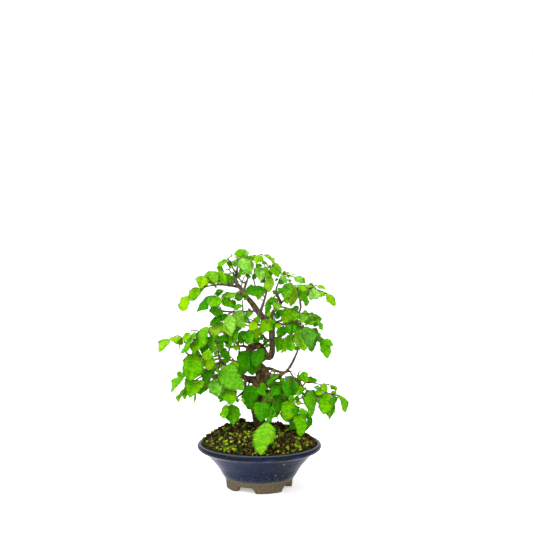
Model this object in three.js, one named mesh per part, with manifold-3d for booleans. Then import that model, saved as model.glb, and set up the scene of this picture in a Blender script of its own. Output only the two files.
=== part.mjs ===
// A Korean hornbeam bonsai in its round glazed pot. Millimetres, +Z up, front of the tree at -Y.
import * as THREE from "three";
import Module from "manifold-3d";
import { mergeVertices } from "three/addons/utils/BufferGeometryUtils.js";

const wasm = await Module();
wasm.setup();

// Sizes that drive the shape.
const POT_SIDES = 28;
const POT_FLOOR_UNDER = 5.8;
const POT_FLOOR_TOP = 11.5;
const DRAIN_RADIUS = 7.5;
const FOOT_COUNT = 4;
const FOOT_TURN = 19; // degrees from +X to the middle of the first foot
const FOOT_SPREAD_TOP = 33; // half the angle that a foot takes under the pot
const FOOT_SPREAD_LOW = 25; // and on the ground
const FOOT_OUTER = 41.2;
const FOOT_INNER = 32;
const SEAT = 0.3; // gap between pieces that rest on each other
const NET_SIDE = 25;
const NET_HOLES = 3;
const NET_BAR = 1.8;
const NET_THICK = 1.2;
const SOIL_SIDES = 20;
const SOIL_EDGE = 52.6;
const SOIL_REACH = 70.6;
const SOIL_CROWN = 20.5; // how far the soil mounds above its edge
const STEM_HOLE_RADIUS = 9.2;
const SOIL_RINGS = [STEM_HOLE_RADIUS, 20, 33, 46, 58];
const NET_STEP = 19; // radius of the hollow that the soil leaves over the net
const STEM_HOLE_FLOOR = 58;
const LEAF_THICK = 1.2;
const LEAF_SLIM = 1.75; // length over width of a leaf seen square on
const LEAF_SHORT = 1.5; // least length over seen width, so a wide leaf leans to the front
const STALK_RADIUS = 0.45;
const TWIG_RADIUS = 1.05;
const TWIG_SIDES = 3;
const ROOM_OTHERS = 2.5; // clear room between leaves of different sprays
const ROOM_OWN = 2.2; // and between leaves of one spray
const STALK_FREE = 1.3; // least room between the foot of a leaf stalk and the wood
const COVER = 3; // cells of the front view in which far leaves may hide
const DEPTH_STEPS = [0, -3, 3, -6, 6, -9, 9, -12, 12, -15, 15, -18, 18];
const MID_X = 4; // the crown's middle, from which leaves face outwards

// The view of the front plane y = 0 from which places are marked: a point marked at (x, z) lies
// on the line from the eye through (x, 0, z), at the depth that the entry gives.
const EYE = new THREE.Vector3(8.9, -1460, 392.4);

// How finely leaves are cut, by kind: places on each edge (share of the length, share of the
// breadth, which makes the teeth) and places on the rib.
const SHAPES = {
  large: { edge: [[0.07, 1.12], [0.25, 1.13], [0.43, 0.97], [0.6, 1.18], [0.8, 1.05]], ribs: [0.25, 0.65] },
  far: { edge: [[0.09, 1.1], [0.34, 1.12], [0.56, 0.97], [0.78, 1.25]], ribs: [0.45] },
  medium: { edge: [[0.1, 1.12], [0.42, 1.1], [0.74, 1.2]], ribs: [0.42] },
  small: { edge: [[0.16, 1.1], [0.62, 1.15]], ribs: [0.4] },
};

// Pot wall, outside from the foot ring up, over the rim and down the inside: radius, height.
const POT_PROFILE = [
  [DRAIN_RADIUS, POT_FLOOR_UNDER],
  [41, POT_FLOOR_UNDER],
  [41.4, 10],
  [47, 18.4],
  [52.5, 27.2],
  [64.5, 41],
  [69.6, 45.6],
  [74.4, 47.4],
  [76.5, 50.2],
  [76, 53],
  [73.6, 54.4],
  [71.2, 53.4],
  [66.5, 45.5],
  [53.5, 31],
  [43.6, 18],
  [37.5, POT_FLOOR_TOP],
  [DRAIN_RADIUS, POT_FLOOR_TOP],
];

// Clumps on the soil: x, y, height, reach.
const CLUMPS = [
  [-22, 6, 6, 9],
  [-42, 10, 4, 9],
  [-60, 8, 4, 8],
  [24, 8, 3, 9],
  [44, 6, 3, 8],
  [-30, -34, 3, 10],
  [18, -44, 2.5, 10],
  [-52, -28, 3, 9],
  [48, -30, 2.5, 9],
];

// Stem and limbs: x, z, depth, radius.
const LIMBS = {
  stem: [
    [0, 58.5, 0, 7.6], [0.6, 70, 0, 7.7], [0.8, 77, 0, 7.3], [-1.2, 87, 0, 7], [-3.2, 97, 1, 6.9],
    [-1.4, 108, 1, 6.5], [0.4, 120, 1, 7.2], [3.4, 131, 0, 8.6], [4.2, 139.5, 0, 8.9],
    [0.4, 147.5, 1, 7.2], [-5, 153, 4, 6], [-10, 159, 7, 5.3], [-12.5, 165.5, 8, 5],
    [-10.5, 171.5, 7, 4.8], [-4.5, 175, 5, 4.5], [1.2, 173.5, 3, 4.3], [5.5, 167.5, 2, 4.2],
    [9.4, 161.8, 1, 4.2], [13.2, 161.5, 1, 4], [15.5, 167, 1, 3.6], [16, 176, 1, 3.5], [15.7, 190, 1, 3.9],
    [15, 200, 2, 4.3],
  ],
  main_left: [
    [15.2, 198, 2, 4.1], [12.5, 204, 2, 4.4], [3.5, 210.5, 1, 4.3], [-5, 222, -1, 3.4],
    [-27.5, 252, 2, 2.2], [-28.6, 258, 3, 2], [-26.6, 272, 3, 1.1],
  ],
  fork: [[-28.6, 257, 3, 1.5], [-32, 265.5, 1, 1]],
  fork_top: [[-28.2, 264, 3, 1.2], [-33, 271.5, 0, 0.8]],
  apex_right: [[-19.5, 241, 0, 1.7], [-12, 265, -3, 0.9], [-13.6, 270, -3, 0.7]],
  apex_link: [[-16.2, 252.5, -1, 1], [-20, 253, 0, 1], [-28, 261, 3, 1]],
  left_top: [[-25, 247.5, 1, 2], [-46, 250.2, -4, 1.3], [-63, 248.3, -7, 0.9]],
  centre_twig: [[0.5, 213, 0, 2], [8.9, 241.5, -4, 1.2], [6.8, 252, -5, 0.8]],
  centre_side: [[7.2, 234.5, -3, 0.9], [0.4, 241.6, -1, 0.7]],
  centre_arch: [[8.7, 241, -4, 0.9], [2, 245, 0, 0.8], [-4.3, 248, -3, 0.8], [-8, 262, -8, 0.7]],
  right_centre: [
    [15, 201, 2, 2.8], [16.8, 217, 1, 2], [26, 226, -1, 1.9], [20.8, 242, -2, 1.3], [24.4, 255.5, -4, 0.8],
  ],
  right_centre_side: [[26.5, 227, -1, 1.2], [37.5, 239, -6, 0.7]],
  right_centre_spur: [[21.2, 237.5, -2, 0.8], [15.6, 233.2, -1, 0.6]],
  right_long: [[17, 216, 1, 1.6], [25.5, 222.4, 0, 1], [36, 220.6, -2, 1], [51, 214.8, -5, 1]],
  right_rise: [[48.3, 215.6, -5, 1.1], [50.4, 220, -5, 1.1], [50.4, 227, -6, 1.2], [46.4, 245.8, -9, 0.8]],
  right_rise_side: [[50.2, 230, -6, 1], [57.2, 235.8, -9, 0.9]],
  right_mid: [[15.9, 183.5, 1, 1.6], [26, 186, -1, 1.2], [33.8, 191.8, -3, 1]],
  right_mid_thin: [[15.9, 179.5, 1, 1], [24, 180.3, 0, 0.8], [35, 186.5, -3, 0.5]],
  right_upper: [[15.4, 197.5, 2, 1.4], [20, 202.5, 1, 1.4], [33, 200.5, -3, 1], [38.5, 202, -4, 0.9]],
  right_slant: [
    [6, 128, 0, 3], [13, 129.5, -4, 2], [21, 133.8, -8, 1.7], [36.3, 146.8, -13, 1.7],
    [47.4, 169.5, -16, 1.1], [45.2, 173, -16, 1],
  ],
  right_slant_knob: [[35.6, 146.5, -13, 1.2], [38.9, 148.6, -13, 1]],
  right_low: [
    [2, 120, 0, 4.2], [9, 119, -3, 2.4], [16, 117.5, -6, 1.9], [25, 118, -10, 1.7],
    [43.5, 117.5, -14, 1.5], [68, 112, -16, 1.2], [73, 113.2, -16, 1.4], [77.6, 118, -16, 0.9],
  ],
  right_low_spur: [[24.6, 118.5, -10, 1.2], [32, 127.8, -12, 0.9]],
  right_low_rise: [[46, 116.5, -14, 1.2], [56.6, 128.6, -16, 0.9]],
  right_low_drop: [[32, 117.5, -12, 1.3], [33.8, 107.6, -15, 1.1]],
  dead_spur: [[45.2, 117.4, -14, 1.2], [47.5, 137, -17, 1], [50.1, 144.5, -18, 0.5]],
  left_long: [
    [-1.5, 216.5, 0, 1.6], [-8, 217.6, -2, 1.2], [-28, 216.4, -5, 1.2], [-46, 218, -8, 1],
    [-47, 221.5, -8, 0.8],
  ],
  left_long_up: [[-20, 217.5, -4, 0.9], [-20.3, 231, -6, 0.6]],
  left_long_down: [[-22, 216.8, -4, 0.9], [-10.6, 203, -1, 1]],
  left_mid: [[14.8, 196, 1, 2.3], [3, 199.7, 0, 1.7], [-20.8, 205.2, -5, 0.8]],
  left_low: [
    [-11, 170.5, 7, 2.6], [-19.5, 174.3, 0, 1.6], [-34.8, 172.8, -6, 1.2], [-37.4, 167.5, -8, 0.9],
  ],
  left_low_a: [[-19, 174.2, 0, 1], [-19.4, 178.6, -2, 0.8], [-17.4, 181.6, -4, 0.6]],
  left_low_b: [[-24.2, 173.6, -3, 1], [-25.2, 164.4, -5, 0.8]],
  left_low_c: [[-25.4, 173.8, -3, 0.9], [-26, 190, -7, 0.9]],
  left_low_d: [[-30.2, 173.4, -5, 1], [-31.2, 179.5, -6, 0.8]],
  loop_link: [[4, 175, 2, 1.7], [15.6, 185, 1, 1.1]],
  loop_thin: [[6.8, 172.4, 1, 0.9], [15.8, 176.6, 1, 0.8]],
  loop_foot: [[9.2, 160, 1, 1.8], [3.2, 154.4, 0, 0.6]],
  stub_left: [[1, 132, 0, 6], [-12, 133.2, -2, 4.2], [-20.6, 136.6, -4, 2.8]],
  stub_drop: [
    [-17.2, 132, -4, 2], [-17.4, 121.5, -6, 1.5], [-19, 118, -7, 1.6], [-28.4, 109.2, -10, 0.9],
    [-21.4, 107, -10, 0.6],
  ],
  stub_drop_in: [[-12.6, 131.5, -2, 1.2], [-12.8, 127, -4, 1], [-17, 121.8, -6, 1]],
  far_left: [
    [-19, 136, -4, 2.2], [-34.5, 146.3, -13, 1.1], [-47.8, 156, -19, 1.6], [-50.4, 166.5, -20, 1],
    [-57.3, 171.2, -20, 0.9],
  ],
  far_left_up: [[-50.4, 166, -20, 0.9], [-51.2, 178.6, -20, 0.6]],
  far_left_out: [
    [-49.4, 162.4, -19, 1], [-63, 160.6, -21, 0.9], [-88, 164.6, -24, 1.1], [-88.8, 174, -25, 0.7],
  ],
  far_left_low: [
    [-47.6, 155, -19, 1.2], [-51, 151.8, -20, 0.9], [-56, 151.6, -22, 0.9], [-65, 154.6, -23, 1],
    [-74.6, 150.6, -22, 1.1], [-64, 143.8, -20, 1], [-65.6, 140.8, -20, 0.9], [-77.5, 132.2, -22, 1],
  ],
  back_left: [
    [-4, 152, 4, 4], [-10, 151, 14, 2.4], [-20, 152, 26, 1.9], [-32, 156, 38, 1.5], [-43, 158, 46, 1.1],
  ],
  back_right: [
    [2, 142, 0, 5], [6, 146, 12, 2.4], [15, 146, 26, 1.9], [27, 142, 38, 1.5], [38, 143, 46, 1.1],
  ],
  back_mid: [
    [15.6, 188, 1, 2.6], [16, 190, 10, 2], [11, 194, 24, 1.7], [0, 196, 36, 1.4], [-12, 199, 44, 1.1],
  ],
  back_mid_right: [[15.2, 199, 2, 3], [20, 203, 12, 1.9], [31, 207, 24, 1.5], [43, 207, 34, 1.2]],
  back_top: [[-4, 221, -1, 2.6], [-6, 226, 8, 1.8], [-13, 232, 20, 1.4], [-23, 239, 30, 1.1]],
  back_top_right: [[21.5, 236, -2, 1.5], [24, 240, 8, 1.3], [31, 244, 18, 1.1]],
};

// Leafy sprays seen from the front. Twigs: x, z, depth of each point, the first on its limb.
// Leaves: x and z of the blade's base and tip, its seen width, then its own depth if it has one
// and the depth of its tip.
const SPRAYS = {
  apex: {
    twigs: [[[-26.8, 271, 3], [-25.6, 277, 3], [-26.6, 283, 2]]],
    leaves: [
      [-28.5, 284, -12, 290, 11], [-23, 281.5, -8.5, 262, 17, -9, -17], [-26.5, 274, -33, 279, 6],
    ],
  },
  apex_left: {
    twigs: [
      [[-32.6, 271.2, 0], [-35, 277.5, -3], [-37.5, 281, -4]],
      [[-34, 274.9, -1.7], [-36.5, 269.5, -4], [-41, 268.5, -5]],
      [[-36.5, 269.5, -4], [-34, 264.5, -5]],
    ],
    leaves: [[-38, 279, -51, 274.5, 6], [-41, 280, -34, 284.5, 2.4], [-33, 264.5, -41, 257, 2.6]],
  },
  apex_right: {
    twigs: [
      [[-13.3, 268.6, -3], [-13.4, 272, -6]],
      [[-13.4, 270.8, -5], [-11.6, 266, -8], [-12.2, 262.6, -8]],
    ],
    leaves: [[-14, 270.5, -25.5, 264, 9.5], [-12.2, 262, -14.5, 255.8, 5.6]],
  },
  left_top_near: {
    twigs: [[[-50, 249.9, -5], [-50, 253.5, -7], [-46, 262, -9], [-43.4, 267, -10]]],
    leaves: [
      [-49.5, 267, -40, 250.6, 12.5], [-57.5, 266.6, -53, 252, 11.5],
      [-43.8, 269, -52.5, 270.3, 4.6], [-60, 267, -63, 252, 9], [-41.5, 262.5, -40.3, 255, 3.6],
    ],
  },
  left_top_far: {
    twigs: [
      [[-62, 248.4, -7], [-66, 247.2, -9.6], [-70, 244.6, -11], [-78, 240.5, -14], [-86, 236.6, -16]],
      [[-66, 247.2, -9.6], [-69.2, 253, -13], [-68.5, 259, -14], [-63, 265, -14]],
    ],
    leaves: [
      [-68.5, 260.5, -72.6, 245.6, 13.5], [-64, 253.5, -70.5, 247.4, 6],
      [-61.5, 265.8, -66.5, 257.4, 5.4], [-73, 246, -86.5, 231, 11.5], [-86, 236.4, -93.6, 217, 11],
    ],
  },
  left_fold: {
    twigs: [
      [[-46.8, 221, -8], [-52, 225, -12], [-56, 230.6, -15]],
      [[-52, 225, -12], [-52.6, 231.5, -14], [-57, 236.6, -16]],
    ],
    leaves: [
      [-60, 236.5, -76.6, 216, 9.5], [-50.5, 222, -56, 212.4, 11], [-54.5, 237, -42, 243.6, 2.8],
      [-53, 236.6, -63, 226, 9.5], [-47, 231, -31, 222.6, 10.5], [-47, 233, -61, 222.5, 9],
    ],
  },
  left_arch: {
    twigs: [[[-15.5, 235.5, 0], [-19, 235, -4], [-23, 236.4, -6], [-27, 238.8, -7], [-31, 236, -8]]],
    leaves: [
      [-28, 239.3, -47, 233, 6.2], [-19.8, 234, -31.6, 233, 7.5], [-33, 231.5, -31, 220.6, 10],
    ],
  },
  left_long_tip: {
    twigs: [
      [[-46, 218.4, -8], [-47.2, 213.4, -10], [-43, 209.4, -12], [-39, 205.4, -13]],
      [[-47.2, 213.4, -10], [-50.5, 209.5, -12]],
    ],
    leaves: [
      [-44.5, 204.4, -57, 184.6, 12.5], [-42, 205, -33, 186, 10], [-50.4, 210.4, -61.4, 199, 8.5],
      [-46.6, 213.4, -51.6, 204, 8],
    ],
  },
  left_long_low: {
    twigs: [
      [[-32, 216.8, -6], [-35, 215, -9], [-38, 213, -11]],
      [[-33.5, 215.9, -7.5], [-29, 220, -9], [-24, 224.8, -8]],
    ],
    leaves: [
      [-31, 216.6, -17.4, 196.6, 14.5], [-36.6, 213, -32.6, 189.6, 13],
      [-22.4, 225.6, -30, 222.2, 4], [-39.4, 214, -45, 206, 6],
    ],
  },
  left_shade: {
    twigs: [
      [[-31, 178.5, -6], [-36, 184, -8], [-40, 188.5, -10], [-43.6, 193.6, -12], [-49, 190.8, -14]],
      [[-36, 184, -8], [-33, 188.5, -10], [-28, 186, -12], [-28.6, 179, -14], [-29, 176.4, -14]],
      [[-40, 188.5, -10], [-44, 186.5, -14], [-46.6, 184, -15]],
    ],
    leaves: [
      [-41.4, 188.6, -47, 177, 9], [-37.4, 186, -40.6, 175.4, 7.5], [-47, 183, -47.6, 165.4, 8.5],
      [-33, 186, -34.6, 174.4, 5.6], [-30, 190.4, -37, 184.4, 5], [-27.6, 184, -30.6, 175.4, 2.4],
      [-25.4, 183, -26.8, 175, 2.2], [-29, 175.4, -27.6, 168, 5.4],
    ],
  },
  left_low_tip: {
    twigs: [[[-37.2, 169, -8], [-37, 163.5, -13], [-34.5, 160.5, -15], [-31, 157, -16]]],
    leaves: [[-38, 167.4, -46.6, 160, 9.6], [-37, 160, -50, 146.6, 8.6], [-31, 155, -38, 150.8, 1.8]],
  },
  inner_round: {
    twigs: [[[-17.6, 181.2, -4], [-16, 185, -9], [-15.4, 189, -11]]],
    leaves: [[-15.4, 193, -9.4, 176.6, 16.5], [-20.6, 190.6, -22.8, 176.2, 8.6]],
  },
  inner_bright: {
    twigs: [
      [[-2.6, 200.4, -1], [-3.4, 203.4, -6], [0.4, 208.6, -8]],
      [[-3.4, 203.4, -6], [-9, 206.6, -9], [-13.4, 208.6, -9], [-12.8, 215.4, -9]],
    ],
    leaves: [
      [1.4, 209.6, -7, 204, 6.4], [-3.6, 203.6, -12.6, 194, 9.4], [-14.6, 209.2, -19.6, 205.4, 5.6],
      [-12.6, 217, -13.6, 210, 6.6],
    ],
  },
  heart: {
    twigs: [
      [[12, 205, 2], [11.4, 210, -6], [13.4, 213.4, -8], [11.4, 220, -9], [12, 225.4, -9]],
      [[11.4, 210, -6], [8, 203, -10], [3.6, 198.4, -10]],
    ],
    leaves: [
      [13, 207.4, 2, 190.6, 12], [1.4, 196.4, -4.6, 183.4, 7.4], [15.4, 203.4, 14.6, 191.6, 4.6],
      [12.6, 210.6, 12, 203.4, 3.6], [14, 206.6, 19.4, 202, 5], [12, 226.6, 10, 217, 5.4],
      [7.6, 227, 15, 221, 3],
    ],
  },
  loop: {
    twigs: [
      [[10.4, 181.6, 1], [7, 185, -4], [4.6, 189.6, -6], [3, 192.6, -6]],
      [[8.2, 183.8, -2.2], [12, 181.6, -6], [13.6, 178.4, -6]],
    ],
    leaves: [[13.6, 177.2, 7.4, 173.4, 2.8]],
  },
  crown_left: {
    twigs: [
      [
        [-7.6, 261, -8], [-4, 268, -10], [-3.6, 276, -10], [-4, 282, -10], [-1, 286, -11],
        [4, 287.2, -12],
      ],
    ],
    leaves: [
      [4.4, 286.6, 18.6, 275, 5.6], [3, 286, 1.4, 277, 6.6], [-2, 286, -3.6, 274.6, 5.6],
      [1.6, 271.6, 1.6, 253.6, 11.5], [3.6, 274, -4.6, 270.4, 4.2],
    ],
  },
  crown_right: {
    twigs: [
      [
        [6.9, 251, -5], [6.4, 261, -9], [8, 268, -11], [11, 270.8, -12], [16, 272.4, -13],
        [18, 276, -13],
      ],
      [[8, 268, -11], [6.8, 273, -11], [4.4, 279.6, -11]],
    ],
    leaves: [
      [18, 277, 27.6, 261, 7.6], [13, 270.4, 24, 259.4, 7.6], [14.2, 269, 15, 260.4, 6.2],
      [13, 262, 12, 240.8, 11.6], [8.4, 272.4, 7.4, 256.6, 6], [4, 280, 10.4, 272.8, 3.8],
    ],
  },
  mid_high: {
    twigs: [
      [[8.8, 241.8, -4], [10.2, 244.6, -7]], [[9.5, 243.2, -5.5], [5, 244, -8], [1, 242.6, -8]],
    ],
    leaves: [[8, 243.8, -19.4, 237, 12], [0.4, 241, -1.6, 230.6, 7.4]],
  },
  right_tip: {
    twigs: [
      [[24.2, 254.8, -4], [27, 259.4, -7], [30.4, 262, -9], [34, 262.6, -10]],
      [[27, 259.4, -7], [32.4, 260.4, -9], [37.6, 261.4, -11], [43, 259, -12]],
    ],
    leaves: [
      [43, 259, 54.6, 251.4, 8.8], [26, 261, 33.6, 251.4, 4.6], [30, 256.4, 40.6, 254, 2.4],
      [33.6, 260, 42, 260.2, 2.4],
    ],
  },
  right_crown: {
    twigs: [
      [[37.2, 238.8, -6], [40, 244, -12], [39.6, 250, -15]],
      [[39.7, 248, -14], [35, 249.6, -14], [31, 247.6, -14]],
    ],
    leaves: [
      [38, 252.4, 30, 233, 12.6], [42, 249.6, 38.4, 222.6, 12], [35, 250.4, 27.4, 243, 7],
      [29, 246, 22, 240, 4.2], [31, 247, 33, 239, 5],
    ],
  },
  right_rise_top: {
    twigs: [
      [
        [46.5, 245.4, -9], [47.6, 247.4, -12], [54, 246.6, -14], [62, 245, -15], [66.4, 247.8, -16],
        [70, 249.8, -16],
      ],
      [[47.6, 247.4, -12], [43.4, 249.6, -14]],
    ],
    leaves: [
      [44.4, 249.4, 60, 244, 5.8], [53, 247.6, 66.4, 247.4, 3.6], [70.4, 248.6, 81.6, 244.4, 4.4],
      [49.6, 244, 52.4, 231.6, 6],
    ],
  },
  right_rise_side: {
    twigs: [[[57, 235.6, -9], [60.6, 239, -12], [64, 243.4, -14], [72, 243.6, -16], [82, 239, -18]]],
    leaves: [
      [54, 243, 57.4, 223.4, 10], [60.4, 239, 77, 236.6, 12.5], [62, 243.4, 60, 235.6, 4.6],
      [82, 239, 92.4, 223.4, 9.4], [72.4, 243.2, 84, 237, 2.8],
    ],
  },
  right_long_tip: {
    twigs: [[[50.4, 214.9, -5], [55, 214.8, -8], [62, 213.6, -11], [69.6, 209, -13]]],
    leaves: [
      [60, 214.4, 71.6, 209.4, 3.8], [66, 212.4, 69.6, 204.8, 3.8], [70.4, 207.4, 77.6, 192.6, 6.4],
      [54.4, 214.4, 53, 202.8, 11.5], [56, 213.4, 61.6, 208.8, 5.4],
    ],
  },
  right_long_mid: {
    twigs: [
      [[42, 217.9, -3], [42.4, 219.6, -8], [46.6, 221, -10]], [[42.4, 219.6, -8], [39.6, 221, -11]],
      [[44.5, 220.3, -9], [46, 217, -12]],
    ],
    leaves: [
      [48.6, 221.6, 40.4, 221.6, 6.8], [38.6, 220.4, 30.6, 203, 14], [46, 216.4, 42.4, 205, 10],
    ],
  },
  right_near: {
    twigs: [
      [[20.8, 221.2, 0], [21.4, 225, -6], [22.4, 231, -8], [23, 238, -9], [20.8, 242.4, -8]],
      [[21.4, 225, -6], [25, 221.4, -9]],
    ],
    leaves: [
      [24.4, 219.6, 21.4, 206.8, 5.8], [23.4, 219.4, 29.8, 213.4, 5.2], [26.4, 222.4, 17, 226.4, 7],
      [22.4, 232.6, 8.4, 229, 7.6], [21, 227.4, 17.6, 218, 4.4],
    ],
  },
  right_mid: {
    twigs: [
      [[38.3, 201.9, -4], [40, 203, -8], [44, 202.4, -10], [47, 206, -11]],
      [[40, 203, -8], [34.6, 203, -11], [30.6, 201.2, -11]],
    ],
    leaves: [
      [42, 201.6, 40, 188.6, 8.6], [48, 204, 44.4, 193.4, 8.6], [46.6, 209, 39.6, 200, 8.4],
      [30, 199.8, 22, 185.6, 7.8], [28.4, 199, 30.6, 187, 6.4], [34, 200.6, 36.6, 189, 8.4],
    ],
  },
  right_mid_low: {
    twigs: [
      [[33.6, 191.6, -3], [37.6, 192.4, -8], [41, 190.4, -11]],
      [[37.6, 192.4, -8], [37.6, 186, -14], [37.8, 181, -15]], [[37.6, 186, -14], [33.6, 179, -15]],
    ],
    leaves: [[40.4, 190, 26, 164.8, 15], [31.6, 176.6, 32, 167, 4.2], [39, 179.6, 40, 167.4, 8.2]],
  },
  right_hang: {
    twigs: [
      [
        [47.6, 215.8, -4.5], [46.6, 208, -14], [45.6, 204.4, -15], [49, 203, -15], [52, 201.4, -15],
        [54.6, 199, -15], [55, 195.6, -16],
      ],
      [[55, 195.6, -16], [50, 194.6, -18], [45.6, 192.4, -18]],
      [[54.6, 199, -15], [60, 194, -17], [66, 188, -18], [72, 184, -19], [77, 182.2, -20]],
    ],
    leaves: [
      [49.6, 195, 56, 168, 15.5], [57.4, 199, 62, 169.4, 15.5], [68, 190.6, 76, 188, 4.8],
      [77.4, 182.6, 83.6, 158.6, 13.5], [79, 182.4, 91.4, 175.4, 7.4], [56, 201, 71, 204.6, 3.8],
    ],
  },
  far_left_top: {
    twigs: [
      [
        [-88.7, 173.6, -25], [-91.6, 180, -26], [-94, 183.4, -26], [-100, 187.2, -27],
        [-108, 184, -28],
      ],
    ],
    leaves: [
      [-96, 185, -111, 182, 5.6], [-109, 182.8, -123.4, 167.2, 10.5],
      [-93.4, 181.6, -105, 178.4, 8.4], [-97, 176.8, -98.4, 168.4, 2.2],
    ],
  },
  far_left_mid: {
    twigs: [
      [
        [-51.2, 178.2, -20], [-60, 184.4, -23], [-72, 188, -25], [-75, 193, -26], [-82, 194, -27],
        [-84.4, 191.8, -27],
      ],
      [[-60, 184.4, -23], [-62, 192, -26], [-63.6, 197, -27]],
    ],
    leaves: [
      [-79, 192, -95, 164.8, 5.8], [-64, 198.6, -79.4, 163.4, 12], [-63.6, 184, -70, 163, 11],
      [-72, 189, -79.4, 185.4, 5.2], [-55.4, 189, -57.6, 165.6, 8.6],
    ],
  },
  far_left_round: {
    twigs: [[[-87, 164.4, -24], [-90.6, 153, -30], [-91.6, 143.4, -31]]],
    leaves: [
      [-79.6, 164.4, -86.4, 131.4, 20], [-92, 142, -109, 115.2, 8.4],
      [-94.4, 140.6, -97, 128.6, 2.2],
    ],
  },
  far_left_base: {
    twigs: [
      [[-77, 132.6, -22], [-80, 131.4, -26], [-90, 124, -28]],
      [[-80, 131.4, -26], [-73, 131, -28], [-67, 127.6, -28], [-64, 123.4, -28]],
    ],
    leaves: [
      [-79, 131.6, -86.6, 109.6, 20], [-91.4, 122, -99.4, 103.4, 3.8], [-79, 118, -79, 101.4, 3.4],
      [-63, 122, -76.4, 115.6, 7.4], [-74, 130.4, -69.6, 124.6, 3.4],
    ],
  },
  far_left_inner: {
    twigs: [
      [[-60.8, 153.6, -23], [-60.2, 158.6, -27], [-60, 161.4, -28]],
      [[-60.2, 158.6, -27], [-57.6, 151, -29], [-57, 146, -29]],
    ],
    leaves: [[-60, 162, -63, 144.6, 12.5], [-57, 145, -69.4, 126.6, 9.8]],
  },
  left_fan: {
    twigs: [
      [
        [-47.4, 155.4, -19], [-50, 147.4, -25], [-51, 141, -27], [-53, 136.6, -28],
        [-57.6, 135.2, -28],
      ],
      [[-51, 141, -27], [-46, 131, -24], [-40, 123.4, -24]],
    ],
    leaves: [
      [-47, 146.6, -19, 118.8, 23], [-55.6, 134, -51, 110.8, 15.5],
      [-38.4, 121.6, -34, 100.6, 17.5], [-42, 113, -48.4, 103.6, 4],
    ],
  },
  left_drop: {
    twigs: [[[-27.6, 110.4, -9], [-31, 106, -15], [-34, 102.4, -18], [-41, 102.4, -20]]],
    leaves: [[-33, 101.6, -32.4, 76.6, 18.8], [-41, 101.6, -43.2, 83.4, 8.2]],
  },
  centre_pair: {
    twigs: [[[-12, 168.5, 7.4], [-9, 168.4, -6], [-5, 167.6, -12], [2.4, 169.6, -14]]],
    leaves: [
      [-14, 168.8, -22.4, 137.2, 17.5], [3.6, 171.6, -5, 148.8, 15.5], [-8, 162, -8, 138, 13.5],
    ],
  },
  stem_front: {
    twigs: [
      [[-1, 126, 0], [-4.4, 124.8, -13], [-6.6, 125.4, -15]], [[-4.4, 124.8, -13], [-1, 127, -15]],
    ],
    leaves: [[-8, 126, -12.6, 95, 17.5], [0.7, 127.2, 9.6, 120, 7.8], [-2.2, 121.8, 9, 112.5, 9.4]],
  },
  front_low: {
    twigs: [[[13, 117.6, -5], [17, 112, -24], [18, 103, -36], [14.4, 94, -46], [10.4, 85, -54]]],
    leaves: [
      [8.2, 80.4, 2.2, 37.8, 29, -55, -71.5], [17.2, 100, 8, 73.6, 6.4, -46, -56],
      [19.6, 93, 15.4, 84, 3.4, -46, -50],
    ],
  },
  front_mid: {
    twigs: [
      [[16, 117.5, -6], [19, 121, -14], [23, 124.4, -17]],
      [[19, 121, -14], [14.6, 117.6, -19], [11, 116.4, -21], [6.6, 110.6, -22], [4, 105.6, -22]],
    ],
    leaves: [
      [3.2, 104.6, 1.4, 79.6, 20], [10.6, 95.6, -5, 86, 8.4], [9.4, 116.4, 15, 93.4, 14],
      [25.6, 113.6, 18.4, 91.6, 14], [24.4, 124.8, 15, 112, 11.5],
    ],
  },
  slant_base: {
    twigs: [
      [[21.5, 134.2, -8], [21, 138, -13], [18.6, 140.4, -14], [17.8, 145.4, -14]],
      [[18.6, 140.4, -14], [21.8, 142.8, -14]],
    ],
    leaves: [[22, 138.6, 10.4, 124.8, 4.6], [23.4, 137, 16, 132.6, 3.2]],
  },
  low_right_in: {
    twigs: [[[31.6, 127.5, -12], [36, 131.4, -17], [42, 131.4, -18]]],
    leaves: [[36, 132, 34, 110.8, 15.5], [43.4, 131.4, 41.6, 112.6, 8.4]],
  },
  low_right_drop: {
    twigs: [
      [
        [33.6, 109.4, -15], [36.6, 104, -18], [41, 101.5, -20], [46.5, 99.3, -21], [53, 95.2, -22],
        [50.8, 91, -25],
      ],
      [[53, 95.2, -22], [57, 94.4, -25]], [[41, 101.5, -20], [44.6, 97, -24]],
    ],
    leaves: [
      [38.2, 106.8, 33, 79.4, 19], [51, 91, 50.2, 61.8, 16], [45.4, 95, 37, 70.2, 12],
      [57.4, 93.6, 60, 70.8, 8.4], [46, 99, 44, 88, 7],
    ],
  },
  low_right_thin: {
    twigs: [
      [[54.4, 115, -16], [51.6, 110, -20], [47, 107.6, -21]], [[47, 107.6, -21], [50, 103.6, -22]],
    ],
    leaves: [
      [49.4, 109, 41.8, 108.4, 6], [50.2, 110, 58, 105.8, 2], [44, 104.4, 52.4, 104.2, 3],
      [50.6, 103.2, 57.6, 101.4, 1.8],
    ],
  },
  low_right_rise: {
    twigs: [[[50.6, 122.8, -15.2], [51.6, 126, -19], [50.6, 132, -22], [49.6, 136.4, -22]]],
    leaves: [[50.6, 124.6, 47, 112, 5.4], [54.8, 124.4, 50.4, 117, 4.8]],
  },
  low_right_star: {
    twigs: [
      [
        [56.2, 128.4, -16], [60, 129.4, -17], [68, 128.4, -18], [76.4, 126.4, -19],
        [86, 126.6, -20],
      ],
      [[76.4, 126.4, -19], [78.6, 121, -20], [83.4, 117.8, -20]],
    ],
    leaves: [
      [57, 129, 54.4, 143, 9.4], [57.6, 130, 71.8, 131.4, 7.8], [83, 117.6, 78.6, 128.8, 7.8],
      [75, 123.2, 67, 122.4, 3], [85, 127.2, 96.4, 118.8, 2.8], [78, 119.6, 69, 114.4, 6.8],
    ],
  },
  low_right_near: {
    twigs: [[[62, 113.1, -16], [64, 116, -20], [63.6, 119, -21]]],
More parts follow.
